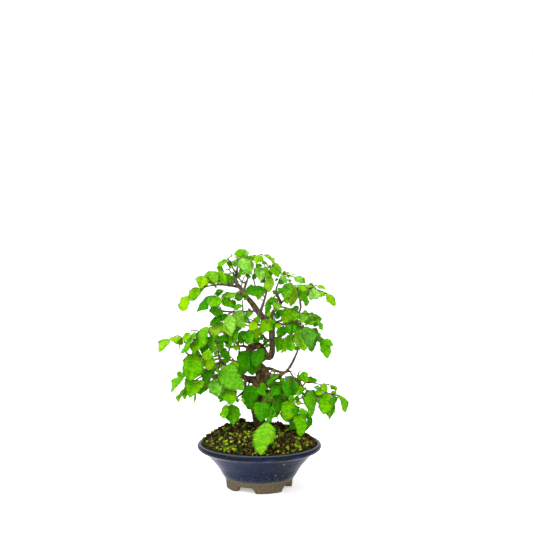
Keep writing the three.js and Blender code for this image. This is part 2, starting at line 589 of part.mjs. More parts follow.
    leaves: [[64, 118.8, 61.8, 85.2, 13.5]],
  },
  low_right_tip: {
    twigs: [[[77.2, 117.4, -16], [82, 116.8, -20], [88, 114.8, -22], [95, 115, -23]]],
    leaves: [
      [84.6, 116, 79, 88.6, 17.5], [88.6, 106.6, 85, 82.2, 9.8], [92, 112.4, 89, 98, 6.4],
      [95, 115, 106.2, 91.2, 10], [91, 111.4, 94.6, 103.8, 3.6], [88, 117.6, 95.4, 116, 3.4],
    ],
  },
};

// Sprays of the far side, by rule: the twig as above, count and length of leaves, seed.
const BACK_SPRAYS = {
  back_left_a: {
    twig: [[-42.4, 157.9, 46], [-52, 158, 52], [-64, 152, 57], [-72, 146, 58]],
    count: 5,
    size: 31,
    seed: 11,
  },
  back_left_b: {
    twig: [[-25, 153.8, 31], [-24, 146, 40], [-26, 134, 48], [-30, 124, 50]],
    count: 5,
    size: 32,
    seed: 12,
  },
  back_right_a: {
    twig: [[37.4, 143, 46], [44, 134, 52], [52, 124, 57], [62, 116, 58]],
    count: 5,
    size: 31,
    seed: 13,
  },
  back_right_b: {
    twig: [[16.4, 145.6, 27], [12, 137, 36], [10, 122, 43], [14, 110, 46]],
    count: 5,
    size: 32,
    seed: 14,
  },
  back_mid_a: {
    twig: [[-11.4, 198.9, 44], [-22, 202, 52], [-34, 201, 58], [-44, 196, 60]],
    count: 5,
    size: 30,
    seed: 15,
  },
  back_mid_c: {
    twig: [[42.4, 207, 34], [48, 206, 42], [54, 198, 50], [56, 188, 54]],
    count: 5,
    size: 30,
    seed: 17,
  },
  back_top_a: {
    twig: [[-22.6, 238.8, 30], [-22, 248, 38], [-18, 260, 42], [-10, 266, 42]],
    count: 5,
    size: 28,
    seed: 19,
  },
  back_top_c: {
    twig: [[30.6, 243.8, 18], [37, 243, 28], [44, 238, 36], [54, 236, 40]],
    count: 5,
    size: 28,
    seed: 21,
  },
};

const UP = new THREE.Vector3(0, 0, 1);

function vec(x, y, z) {
  return new THREE.Vector3(x, y, z);
}

function mix(terms) {
  const sum = vec(0, 0, 0);
  for (const [v, s] of terms) sum.addScaledVector(v, s);
  return sum;
}

function seen(x, z, depth) {
  const reach = (depth - EYE.y) / -EYE.y;
  return vec(EYE.x + (x - EYE.x) * reach, depth, EYE.z + (z - EYE.z) * reach);
}

// Repeatable draws between 0 and 1.
function draws(seed) {
  let state = seed >>> 0;
  return () => {
    state = (state + 0x6d2b79f5) >>> 0;
    let t = state;
    t = Math.imul(t ^ (t >>> 15), t | 1);
    t ^= t + Math.imul(t ^ (t >>> 7), t | 61);
    return ((t ^ (t >>> 14)) >>> 0) / 4294967296;
  };
}

// A closed body from points and triangles, turned so that its faces look outwards.
function solid(points, faces) {
  const vertProperties = new Float32Array(points.flatMap((p) => [p.x, p.y, p.z]));
  const make = (list) => {
    const triVerts = new Uint32Array(list.flat());
    return new wasm.Manifold(new wasm.Mesh({ numProp: 3, vertProperties, triVerts }));
  };
  const body = make(faces);
  return body.volume() > 0 ? body : make(faces.map(([a, b, c]) => [a, c, b]));
}

// Joins rings of equal count into a closed skin with flat ends.
function skin(rings) {
  const n = rings[0].length;
  const last = (rings.length - 1) * n;
  const faces = [];
  for (let i = 0; i < last; i += n)
    for (let k = 0; k < n; k++) {
      const next = (k + 1) % n;
      faces.push([i + k, i + next, i + n + next], [i + k, i + n + next, i + n + k]);
    }
  for (let k = 1; k + 1 < n; k++) faces.push([0, k + 1, k], [last, last + k, last + k + 1]);
  return solid(rings.flat(), faces);
}

// The closed body of a three.js geometry: equal corners are merged, and triangles that this makes
// flat are left out.
function bodyOf(geometry) {
  geometry.deleteAttribute("normal");
  geometry.deleteAttribute("uv");
  const merged = mergeVertices(geometry, 1e-3);
  const places = merged.getAttribute("position");
  const pointAt = (_, i) => vec(0, 0, 0).fromBufferAttribute(places, i);
  const points = Array.from({ length: places.count }, pointAt);
  const corners = merged.getIndex().array;
  const faces = [];
  for (let i = 0; i < corners.length; i += 3) {
    const [a, b, c] = corners.slice(i, i + 3);
    if (a !== b && b !== c && c !== a) faces.push([a, b, c]);
  }
  return solid(points, faces);
}

// A profile of [radius, height] turned about Z.
function latheOf(profile, sides) {
  const outline = profile.map(([r, z]) => new THREE.Vector2(r, z));
  return new THREE.LatheGeometry(outline, sides).rotateX(Math.PI / 2);
}

// A line of marked places with a radius at each, as a closed skin with a ring at each place.
function tube(places, radii, sides, grow = 0, ridge = 0) {
  const last = places.length - 1;
  const start = places[1].clone().sub(places[0]).normalize();
  let across = Math.abs(start.x) < 0.8 ? vec(1, 0, 0) : vec(0, 1, 0);
  const rings = places.map((middle, i) => {
    const along = places[Math.min(i + 1, last)].clone().sub(places[Math.max(i - 1, 0)]).normalize();
    across = across.clone().addScaledVector(along, -across.dot(along)).normalize();
    const over = along.clone().cross(across);
    return Array.from({ length: sides }, (_, k) => {
      const a = (2 * Math.PI * k) / sides;
      const r = radii[i] * (1 + ridge * Math.sin(3 * a + 1.6 * i)) + grow;
      return mix([[middle, 1], [across, r * Math.cos(a)], [over, r * Math.sin(a)]]);
    });
  });
  return skin(rings);
}

// Half the blade's breadth at u from base (0) to tip (1), as a share of the widest: rounded at the
// base, widest at a third, drawn out to a point.
function breadth(u) {
  return (Math.pow(u, 0.55) * Math.pow(1 - u, 0.95)) / 0.3731;
}

// A point of the blade at u along and v across (-1 to 1): arched lengthwise, folded up or down
// from the rib, with a slow wave along its edges.
function bladePoint(leaf, u, v) {
  const half = 0.5 * leaf.width * breadth(u) * Math.abs(v);
  const wave = leaf.wave * half * Math.abs(v) * Math.sin(9.4 * u + (v > 0 ? 1.7 : 0) + leaf.phase);
  const lift = leaf.arch * leaf.length * 4 * u * (1 - u) + half * Math.sin(leaf.fold) + wave;
  const aside = Math.sign(v) * half * Math.cos(leaf.fold);
  return mix([[leaf.base, 1 - u], [leaf.tip, u], [leaf.side, aside], [leaf.up, lift]]);
}

// Turns a leaf's upper side so that it shows the given width to the eye and looks outwards and up.
function turnLeaf(base, tip, seenWidth, random) {
  const along = tip.clone().sub(base);
  const length = along.length();
  along.normalize();
  const view = EYE.clone().sub(base).normalize();
  const front = view.addScaledVector(along, -view.dot(along)).normalize();
  const aside = along.clone().cross(front);
  const width = Math.max(seenWidth, length / LEAF_SLIM);
  const roll = Math.acos(Math.min(1, seenWidth / width));
  const outward = base.x < MID_X ? -1 : 1;
  const sense = aside.z + 0.6 * outward * aside.x >= 0 ? 1 : -1;
  const up = mix([[front, Math.cos(roll)], [aside, sense * Math.sin(roll)]]);
  const shape = length > 20 ? "large" : length > 10.5 ? "medium" : "small";
  return { base, tip, length, width, up, side: along.clone().cross(up), shape, ...curl(random) };
}

// Turns a leaf's upper side towards a direction.
function faceLeaf(base, tip, towards, random) {
  const along = tip.clone().sub(base);
  const length = along.length();
  along.normalize();
  const up = towards.clone().addScaledVector(along, -towards.dot(along)).normalize();
  const side = along.clone().cross(up);
  return { base, tip, length, width: length / 1.6, up, side, shape: "far", ...curl(random) };
}

function curl(random) {
  return {
    arch: 0.05 + 0.08 * random[0],
    fold: -0.25 + 0.65 * random[1],
    wave: 0.16,
    phase: 6.3 * random[2],
  };
}

// Points along a line, about a gap apart and half a gap clear of its corners.
function pointsOfLine(places, gap) {
  const found = [];
  for (let i = 0; i + 1 < places.length; i++) {
    const count = Math.max(1, Math.round(places[i].distanceTo(places[i + 1]) / gap));
    for (let k = 0; k < count; k++) found.push(places[i].clone().lerp(places[i + 1], (k + 0.5) / count));
  }
  return found;
}

function nearest(point, list) {
  return list.reduce((best, p) => (p.distanceToSquared(point) < best.distanceToSquared(point) ? p : best));
}

function cloudOf(leaf) {
  const cloud = [];
  for (let i = 0; i <= 9; i++)
    for (const v of [-1, -0.6, -0.2, 0.2, 0.6, 1]) cloud.push(bladePoint(leaf, i / 9, v));
  return cloud;
}

function group(owner, points, radius, stalk = []) {
  const all = [...points, ...stalk];
  const middle = mix(all.map((p) => [p, 1 / all.length]));
  const reach = Math.max(...all.map((p) => p.distanceTo(middle)));
  return { owner, points, stalk, radius, middle, reach };
}

function missingBetween(here, there, need) {
  let spare = 0;
  for (const p of here) for (const q of there) spare = Math.min(spare, p.distanceTo(q) - need);
  return spare;
}

// How much less than enough room a leaf has beside what is already placed, 0 if it has enough. Its
// stalk may come near the twigs and stalks of its own spray.
function missingRoom(leaf, placed) {
  let spare = 0;
  for (const other of placed) {
    const own = other.owner === leaf.owner;
    const need = (own ? (other.radius > 0 ? 1 : ROOM_OWN) : ROOM_OTHERS) + other.radius;
    if (leaf.middle.distanceTo(other.middle) > leaf.reach + other.reach + need) continue;
    spare = Math.min(
      spare,
      missingBetween(leaf.points, other.points, need),
      missingBetween(leaf.points, other.stalk, own ? 1.4 : need),
      own && other.radius > 0 ? 0 : missingBetween(leaf.stalk, other.points, own ? 1.4 : need),
      own ? 0 : missingBetween(leaf.stalk, other.stalk, need),
    );
  }
  return spare;
}

// The cells of the front view that a leaf covers.
function cellsOf(leaf) {
  const cells = [];
  for (let i = 0; i <= 12; i++)
    for (let k = -4; k <= 4; k++) {
      const p = bladePoint(leaf, i / 12, k / 4);
      const reach = (p.y - EYE.y) / -EYE.y;
      const x = EYE.x + (p.x - EYE.x) / reach;
      const z = EYE.z + (p.z - EYE.z) / reach;
      cells.push(Math.round(x / COVER) + " " + Math.round(z / COVER));
    }
  return cells;
}

// Grows every spray. A leaf of the near side keeps its marked place in the front view and moves in
// depth by the least step that leaves room. One of the far side tries several places on its twig's
// outer side and takes the one that shows least from the front.
function growSprays() {
  const placed = [];
  for (const line of Object.values(LIMBS)) {
    const places = line.map(([x, z, y]) => seen(x, z, y));
    for (let i = 0; i + 1 < places.length; i++)
      placed.push(group("wood", pointsOfLine([places[i], places[i + 1]], 2), line[i][3]));
  }
  const wood = placed.slice();
  const sprays = Object.entries({ ...SPRAYS, ...BACK_SPRAYS }).map(([name, entry]) => {
    const twigs = (entry.twigs ?? [entry.twig]).map((t) => t.map(([x, z, y]) => seen(x, z, y)));
    for (let i = 1; i < twigs.length; i++)
      twigs[i][0] = nearest(twigs[i][0], twigs.slice(0, i).flatMap((t) => pointsOfLine(t, 3)));
    const free = (dot) =>
      wood.every((w) => w.points.every((p) => p.distanceTo(dot) > w.radius + STALK_FREE));
    const dots = twigs.flatMap((t) => pointsOfLine(t, 1.8)).filter(free);
    return { name, twigs, dots, free: dots.slice(), leaves: [] };
  });
  for (const spray of sprays)
    for (const twig of spray.twigs) placed.push(group(spray.name, pointsOfLine(twig, 2.5), 0.6));
  const covered = new Set();
  const settle = (spray, tries, hidden) => {
    let best = null;
    for (const leaf of tries) {
      leaf.root = nearest(leaf.base, spray.free.length ? spray.free : spray.dots);
      const stalk = [0.25, 0.4, 0.55, 0.7, 0.85].map((t) => leaf.root.clone().lerp(leaf.base, t));
      const spot = group(spray.name, cloudOf(leaf), 0, stalk);
      const shown = hidden ? cellsOf(leaf).filter((cell) => !covered.has(cell)).length : 0;
      const score = 60 * missingRoom(spot, placed) - shown;
      if (!best || score > best.score) best = { leaf, spot, score };
      if (score === 0) break;
    }
    placed.push(best.spot);
    spray.free = spray.free.filter((dot) => dot !== best.leaf.root);
    spray.leaves.push(best.leaf);
  };
  let turn = 0;
  for (const spray of sprays) {
    const random = draws(100 + turn);
    turn++;
    const entry = SPRAYS[spray.name];
    if (entry)
      for (const [bx, bz, tx, tz, wide, own, far] of entry.leaves) {
        const chance = [random(), random(), random()];
        const start = own ?? nearest(seen(bx, bz, spray.dots[0].y), spray.dots).y - 2;
        const flat = Math.hypot(tx - bx, tz - bz);
        const length = Math.max(flat * 1.04, wide * LEAF_SHORT);
        const lean = far === undefined ? Math.sqrt(length * length - flat * flat) : own - far;
        const steps = own === undefined ? DEPTH_STEPS : [0];
        settle(spray, steps.map((step) => {
          const y = start + step;
          return turnLeaf(seen(bx, bz, y), seen(tx, tz, y - lean), wide, chance);
        }), false);
        for (const cell of cellsOf(spray.leaves.at(-1))) covered.add(cell);
      }
    else growFarSpray(spray, BACK_SPRAYS[spray.name], settle);
  }
  return sprays;
}

function growFarSpray(spray, { count, size, seed }, settle) {
  const random = draws(seed);
  for (let k = 0; k < count; k++) {
    const at = spray.dots[Math.round(((spray.dots.length - 1) * k) / (count - 1))];
    const outward = vec(at.x - MID_X, at.y, 0).normalize();
    const aside = outward.clone().cross(UP);
    const hand = k === count - 1 ? 0 : k % 2 ? 1 : -1;
    const tries = Array.from({ length: 24 }, () => {
      const forth = 0.35 + 0.6 * random();
      const across = hand * (0.2 + 0.8 * random());
      const rise = 0.3 - 1.3 * random();
      const dir = mix([[outward, forth], [aside, across], [UP, rise]]).normalize();
      const base = mix([[at, 1], [dir, 3 + 3 * random()]]);
      const length = size * (0.8 + 0.3 * random());
      const turns = [random(), random(), random()];
      return faceLeaf(base, mix([[base, 1], [dir, length]]), mix([[outward, 0.75], [UP, 0.65]]), turns);
    });
    settle(spray, tries, true);
  }
}

// A leaf with its stalk as one closed skin: three-cornered stalk that ends half-way between its own
// direction and the blade's, blade thickest on the rib and sharp at a toothed edge. Both faces are
// split alike.
function leafSolid(leaf) {
  const { edge, ribs } = SHAPES[leaf.shape];
  const points = [];
  const add = (p) => points.push(p) - 1;
  const stalk = leaf.base.clone().sub(leaf.root).normalize();
  const turned = leaf.tip.clone().sub(leaf.base).normalize().add(stalk).normalize();
  for (const [middle, way] of [[leaf.root, stalk], [leaf.base, turned]]) {
    const side = leaf.side.clone().addScaledVector(way, -leaf.side.dot(way)).normalize();
    const under = side.clone().cross(way).negate();
    for (const [a, b] of [[1, -0.6], [-1, -0.6], [0, 1]])
      add(mix([[middle, 1], [side, a * STALK_RADIUS], [under, b * STALK_RADIUS]]));
  }
  const faces = [[0, 1, 2]];
  for (let k = 0; k < 3; k++) {
    const n = (k + 1) % 3;
    faces.push([k, k + 3, n + 3], [k, n + 3, n]);
  }
  const end = [1, add(leaf.tip)];
  const sideLine = (start, v) => [
    [0, start],
    ...edge.map(([u, f]) => [u, add(bladePoint(leaf, u, 0).lerp(bladePoint(leaf, u, v), f))]),
    end,
  ];
  const rightLine = sideLine(3, 1);
  const leftLine = sideLine(4, -1);
  const ribLine = (rise) => [
    ...ribs.map((u) => [u, add(bladePoint(leaf, u, 0).addScaledVector(leaf.up, (rise * LEAF_THICK) / 2))]),
    end,
  ];
  const top = ribLine(1);
  const low = ribLine(-1);
  const strip = (outer, inner, flip) => {
    let i = 0;
    let j = 0;
    while (i + 1 < outer.length || j + 1 < inner.length) {
      const goOuter = j + 1 >= inner.length || (i + 1 < outer.length && outer[i + 1][0] <= inner[j + 1][0]);
      const a = outer[i][1];
      const b = inner[j][1];
      const c = goOuter ? outer[++i][1] : inner[++j][1];
      if (a !== c && b !== c) faces.push(flip ? [a, b, c] : [a, c, b]);
    }
  };
  strip(rightLine, top, false);
  strip(leftLine, top, true);
  faces.push([3, top[0][1], 4]);
  strip(rightLine, [[0, 5], ...low], true);
  strip(leftLine, [[0, 5], ...low], false);
  return solid(points, faces);
}

function potSolid() {
  let body = bodyOf(latheOf([...POT_PROFILE, POT_PROFILE[0]], POT_SIDES));
  for (let f = 0; f < FOOT_COUNT; f++) {
    const middle = FOOT_TURN + (360 / FOOT_COUNT) * f;
    const rings = [];
    for (let i = 0; i <= 4; i++) {
      const share = i / 2 - 1;
      const corner = (radius, z, spread) => {
        const a = ((middle + share * spread) * Math.PI) / 180;
        return vec(radius * Math.cos(a), radius * Math.sin(a), z);
      };
      rings.push([
        corner(FOOT_OUTER, 0, FOOT_SPREAD_LOW),
        corner(FOOT_OUTER, POT_FLOOR_UNDER + 1.2, FOOT_SPREAD_TOP),
        corner(FOOT_INNER, POT_FLOOR_UNDER + 1.2, FOOT_SPREAD_TOP),
        corner(FOOT_INNER, 0, FOOT_SPREAD_LOW),
      ]);
    }
    body = body.add(skin(rings));
  }
  return body;
}

// How much the soil's surface rises at a place: fine waves and the clumps.
function soilRelief(x, y) {
  let lift = 0.9 * Math.sin(0.42 * x + 1.3) * Math.cos(0.37 * y - 0.6);
  for (const [cx, cy, height, reach] of CLUMPS)
    lift += height * Math.exp(-((x - cx) ** 2 + (y - cy) ** 2) / (reach * reach));
  return lift;
}

// The soil fills the pot, with a step over the drain net and a hole in which the stem stands. It
// has fewer sides than the pot, so its corners are drawn in to clear the pot's flat sides.
function soilSolid() {
  const inset = (r) => (r - SEAT) * Math.cos(Math.PI / POT_SIDES) - 0.15;
  const mound = (r) => SOIL_EDGE + SOIL_CROWN * (1 - Math.pow(r / SOIL_REACH, 3));
  const geometry = latheOf(
    [
      [0, STEM_HOLE_FLOOR],
      [STEM_HOLE_RADIUS, STEM_HOLE_FLOOR],
      ...SOIL_RINGS.map((r) => [r, mound(r)]),
      [inset(SOIL_REACH), SOIL_EDGE],
      [inset(66.3), 45.5],
      [inset(53.3), 31],
      [inset(43.3), 18],
      [inset(37.3), POT_FLOOR_TOP + SEAT],
      [NET_STEP, POT_FLOOR_TOP + SEAT],
      [NET_STEP, POT_FLOOR_TOP + 3],
      [0, POT_FLOOR_TOP + 3],
    ],
    SOIL_SIDES,
  );
  const places = geometry.getAttribute("position");
  for (let i = 0; i < places.count; i++) {
    const z = places.getZ(i);
    const isCrown = z > STEM_HOLE_FLOOR + 1;
    if (isCrown) places.setZ(i, z + soilRelief(places.getX(i), places.getY(i)));
  }
  return bodyOf(geometry);
}

// A square net that keeps soil in over the drain hole.
function netSolid() {
  const floor = POT_FLOOR_TOP + SEAT;
  const plate = (side, thick, x, y) =>
    bodyOf(new THREE.BoxGeometry(side, side, thick).translate(x, y, floor + NET_THICK / 2));
  const pitch = (NET_SIDE - NET_BAR) / NET_HOLES;
  const middle = (NET_HOLES - 1) / 2;
  const hole = (i, k) => plate(pitch - NET_BAR, 2 * NET_THICK, (i - middle) * pitch, (k - middle) * pitch);
  let net = plate(NET_SIDE, NET_THICK, 0, 0);
  for (let i = 0; i < NET_HOLES; i++) for (let k = 0; k < NET_HOLES; k++) net = net.subtract(hole(i, k));
  return net;
}

function woodSolid(grow) {
  let body = null;
  for (const [name, line] of Object.entries(LIMBS)) {
    const places = line.map(([x, z, y]) => seen(x, z, y));
    const radii = line.map((p) => p[3]);
    const thick = Math.max(...radii);
    const sides = name === "stem" ? 8 : thick > 3 ? 6 : thick > 1.2 ? 4 : 3;
    const piece = tube(places, radii, sides, grow, name === "stem" ? 0.07 : 0);
    body = body ? body.add(piece) : piece;
  }
  return body;
}

function largest(body) {
  return body.decompose().reduce((a, b) => (a.volume() > b.volume() ? a : b));
}

function spraySolid(spray, clearance) {
  let body = null;
  for (const twig of spray.twigs) {
    const radii = twig.map((_, i) => (1 - (0.15 * i) / (twig.length - 1)) * TWIG_RADIUS);
    if (body) radii[0] = 0.6 * TWIG_RADIUS;
    const piece = tube(twig, radii, TWIG_SIDES);
    body = body ? body.add(piece) : piece;
  }
  for (const leaf of spray.leaves) body = body.add(leafSolid(leaf));
  return largest(body.subtract(clearance));
}

const GLAZE = { color: 0x2f3d5e, roughness: 0.28 };
const SOIL = { color: 0x3a3120, roughness: 0.95 };
const PLASTIC = { color: 0x1d1f20, roughness: 0.5 };
const BARK = { color: 0x5a4a34, roughness: 0.85 };
const LEAF = { color: 0x5aa614, roughness: 0.45 };

function meshOf(name, body, look) {
  const found = body.getMesh();
  const geometry = new THREE.BufferGeometry();
  const places = new Float32Array(found.vertProperties);
  geometry.setAttribute("position", new THREE.BufferAttribute(places, found.numProp));
  geometry.setIndex(new THREE.BufferAttribute(new Uint32Array(found.triVerts), 1));
  geometry.computeVertexNormals();
  const mesh = new THREE.Mesh(geometry, new THREE.MeshStandardMaterial({ ...look, metalness: 0 }));
  mesh.name = name;
  return mesh;
}

const holder = new THREE.Group();
holder.name = "pot_with_soil";
holder.add(
  meshOf("pot", potSolid(), GLAZE),
  meshOf("soil", soilSolid(), SOIL),
  meshOf("drain_net", netSolid(), PLASTIC),
);

const tree = new THREE.Group();
tree.name = "tree";
tree.add(meshOf("trunk_and_branches", woodSolid(0), BARK));
const clearance = woodSolid(SEAT);
for (const spray of growSprays())
  tree.add(meshOf("spray_" + spray.name, spraySolid(spray, clearance), LEAF));

// The origin lies on the ground under the middle of the whole.
const bonsai = new THREE.Group();
bonsai.name = "korean_hornbeam_bonsai";
bonsai.add(holder, tree);
const extent = new THREE.Box3().setFromObject(bonsai);
const middle = extent.getCenter(vec(0, 0, 0));
bonsai.position.set(-middle.x, -middle.y, -extent.min.z);

export default bonsai;
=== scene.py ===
"""Looks of a Korean hornbeam bonsai in its round glazed bowl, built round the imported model.

Places are marked in millimetres as they are seen on the front plane through the bowl's axis: x to
the right, z up from the ground, and a depth that grows away from the viewer.
"""

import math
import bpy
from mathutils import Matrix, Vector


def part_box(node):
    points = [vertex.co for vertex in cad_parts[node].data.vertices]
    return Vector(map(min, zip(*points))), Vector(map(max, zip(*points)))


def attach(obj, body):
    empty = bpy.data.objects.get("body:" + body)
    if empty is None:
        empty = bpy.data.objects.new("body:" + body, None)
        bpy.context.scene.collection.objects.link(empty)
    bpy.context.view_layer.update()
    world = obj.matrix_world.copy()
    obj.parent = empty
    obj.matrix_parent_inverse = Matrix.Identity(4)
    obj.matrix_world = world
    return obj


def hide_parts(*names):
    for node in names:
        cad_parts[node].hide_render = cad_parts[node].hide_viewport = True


bl_info = {
    "name": "Korean Hornbeam Bonsai",
    "version": (1, 0, 0),
    "blender": (4, 5, 0),
    "location": "3D View > Sidebar > Bonsai",
    "description": "Builds the leaves, wood, soil and bowl of a Korean hornbeam bonsai",
    "category": "Add Mesh",
}

import bpy
import numpy as np

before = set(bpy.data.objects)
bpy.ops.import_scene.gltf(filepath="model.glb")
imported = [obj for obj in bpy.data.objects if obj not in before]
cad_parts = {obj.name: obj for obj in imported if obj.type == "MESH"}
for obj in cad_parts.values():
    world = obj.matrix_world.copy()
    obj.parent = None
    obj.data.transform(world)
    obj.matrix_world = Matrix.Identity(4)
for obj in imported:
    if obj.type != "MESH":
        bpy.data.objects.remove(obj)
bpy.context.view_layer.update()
POT_LOW, POT_HIGH = np.array(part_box("pot"))

MM = 0.001
# The foot of the bowl's axis, in metres.
AXIS = np.array([*(POT_LOW + POT_HIGH)[:2] / 2, POT_LOW[2]])
UP = np.array([0.0, 0.0, 1.0])

# The view in which places are marked: the eye, its tilt in degrees and its focal length.
EYE = np.array([8.9, -1460.0, 392.4])
EYE_PITCH = 4.7
FOCAL_LENGTH = 81.05

# Length over width of a leaf seen square on, and least length over the width that shows.
LEAF_SLIM = 1.75
LEAF_SHORT = 1.5
# Room between leaves of different sprays, between those of one, and from a stalk's foot to wood.
ROOM_OTHERS = 2.5
ROOM_OWN = 2.2
STALK_FREE = 1.3
# Room between a leaf and a twig of its own spray, a stalk and such a leaf, and round a twig's line.
ROOM_TWIG = 1
ROOM_STALK = 1.4
TWIG_ROUND = 0.6
# How many cells in which a far leaf shows weigh as much as a millimetre of missing room.
CELLS_FOR_ROOM = 60
# Side of the cells of the front view behind which far leaves may hide.
COVER = 3
# Steps in depth at which a marked leaf looks for room.
DEPTH_STEPS = (0, -3, 3, -6, 6, -9, 9, -12, 12, -15, 15, -18, 18)
# The crown's middle, from which leaves face outwards.
MID_X = 4
FAR_LEAVES = 5
FAR_TRIES = 24
# First seeds of the draws for marked, young and filling leaves, and for the tones.
MARKED_SEED, YOUNG_SEED, FILL_SEED, TONE_SEED = 100, 500, 700, 900

# How a blade is cut: rows from one side vein to the next, how far its edge goes out at each as a
# share of a tooth, and places across.
FINE_CUT = (
    (0, 0.13, 0.45, 0.58), (1, -0.5, 0.5, -0.25), (-1, -0.72, -0.45, -0.2, 0, 0.2, 0.45, 0.72, 1),
)
PLAIN_CUT = ((0, 0.3), (1, -0.5), (-1, -0.5, 0, 0.5, 1))
# Longest leaf with the plain cut, and shortest with a stalk and with a bud of their own.
PLAIN_LENGTH = 9
STALKED_LENGTH = 3
BUDDED_LENGTH = 8
# How far side veins lean forward, and a side's breadth for the digit 0 and its step to the next.
VEIN_LEAN = 0.76
SIDE_LEAST = 0.64
SIDE_STEP = 0.08
# Slow waves of a blade's outline: height, turns along the leaf, share of the leaf's own shift.
EDGE_WAVES = ((0.1, 5.3, 1), (0.07, 12.7, 2), (0.05, 27, 3))
# Numbers of a spray's materials.
BLADE, SHOOT, BUD = range(3)

# The soil's mound: height of its edge, reach, and rise of its crown.
SOIL_EDGE = 52.6
SOIL_REACH = 70.6
SOIL_CROWN = 20.5
SOIL_SIDES = 200
# Its underside in the bowl, down to the hollow over the net: radius, height.
SOIL_UNDER = ((66.1, 45.5), (53.1, 31), (43.1, 18), (37.1, 11.9), (19, 14.4), (1, 14.4))
# Heaps on the mound: x, y, height, reach.
CLUMPS = (
    (-22, 6, 6, 9), (-42, 10, 4, 9), (-60, 8, 4, 8), (24, 8, 3, 9), (44, 6, 3, 8),
    (-30, -34, 3, 10), (18, -44, 2.5, 10), (-52, -28, 3, 9), (48, -30, 2.5, 9),
)
# Clods that stand out: x, y, size.
CLODS = (
    (-20, 10, 4.2), (-27, 6, 3.2), (-41, 8, 2.8), (-50, 12, 2.2), (-63, 6, 1.9), (-12, 14, 3),
    (22, 8, 2.8), (35, 6, 2.6), (47, 9, 2.2), (62, 4, 1.9), (10, 20, 3), (-34, 24, 2.6),
    (40, 26, 2.4),
)
CLOD_LUMPS = 7
CRUMB_COUNT = 5600
TUFT_COUNT = 5200
HEAD_COUNT = 700

# Heights on the bark in metres: where it turns greyer, where the painted shade low on the stem
# # ends, and where algae end.
GREYER_BARK = (0.14, 0.19)
PAINTED_SHADE_BARK = (0.085, 0.115)
GREEN_BARK = (0.062, 0.08)

# Looks of earth and moss: the size of their grain in metres and the stops of their colours.
EARTH_LOOKS = {
    "potting_earth": (0.003, [
        (0.0, "#0c0b04"), (0.4, "#1c1a08"), (0.65, "#302d0d"), (1.0, "#4c4418"),
    ]),
    "soil_crumbs": (0.002, [
        (0.0, "#0c0b04"), (0.35, "#201d08"), (0.62, "#38360d"), (0.8, "#4c3c1a"), (0.92, "#572f1c"),
        (1.0, "#8a7840"),
    ]),
    "low_moss": (0.0015, [(0.0, "#0e1404"), (0.4, "#1d2807"), (0.75, "#3a480c"), (1.0, "#66741a")]),
    "moss_heads": (0.003, [
        (0.0, "#2f440a"), (0.4, "#577608"), (0.75, "#7f9c0d"), (1.0, "#a8aa1c"),
    ]),
}

# The bowl's wall, from the drain hole outwards, over the rim and down the inside: radius, height.
POT_PROFILE = (
    (7.5, 5.8), (37, 5.8), (40.6, 8.4), (41.4, 10), (47, 18.4), (52.5, 27.2), (64.5, 41),
    (69.6, 45.6), (74.4, 47.4), (76.5, 50.2), (76, 53), (73.6, 54.4), (71.2, 53.4), (66.5, 45.5),
    (53.5, 31), (43.6, 18), (37.5, 11.5), (7.5, 11.5),
)
POT_SIDES = 180
# Feet: how many, turn of the first, height, half their spread in degrees at the ground and at the
# bowl, and radius outside and inside.
FOOT_COUNT = 4
FOOT_TURN = 19
FOOT_HEIGHT = 9.4
FOOT_SPREAD_LOW = 25
FOOT_SPREAD_TOP = 37
FOOT_OUTER = 41.2
FOOT_INNER = 32
# Heights on the bowl in metres, each from no effect to the whole or back: bare clay, the thin edge
# # of the glaze, its lower part, the rim, cobalt on the rim, and the rim's thin upper line, a
# # painted highlight where the glaze also runs thin.
BARE_CLAY = (0.0145, 0.0152)
THIN_EDGE = (0.0152, 0.0177)
LOW_GLAZE = (0.014, 0.03)
RIM = (0.0465, 0.049)
RIM_COBALT = (0.0505, 0.0525)
RIM_LINE = (0.0533, 0.0542)
# The joint of wall and rim: height, and half its breadth.
LIP_HEIGHT = 0.0487
LIP = (0.0004, 0.0011)
# Cobalt patches of the rim and worn spots of the wall: x, y, z, reach.
RIM_PATCHES = (
    (-5, -75, 50.5, 9), (13, -74, 50, 10), (47, -59, 50, 9), (61, -44, 50.5, 8),
    (-70, 25, 50.5, 14), (20, 72, 50.5, 14),
)
WORN_SPOTS = (
    (29.4, -57, 40.4, 1.3), (20.2, -47, 24.8, 1.2), (22.2, -42, 19.2, 0.9), (-4, -59, 38, 0.8),
)

# The stage in metres: half the floor's side, and the height that the lights are turned to.
FLOOR_REACH = 6.0
TREE_MIDDLE = 0.15

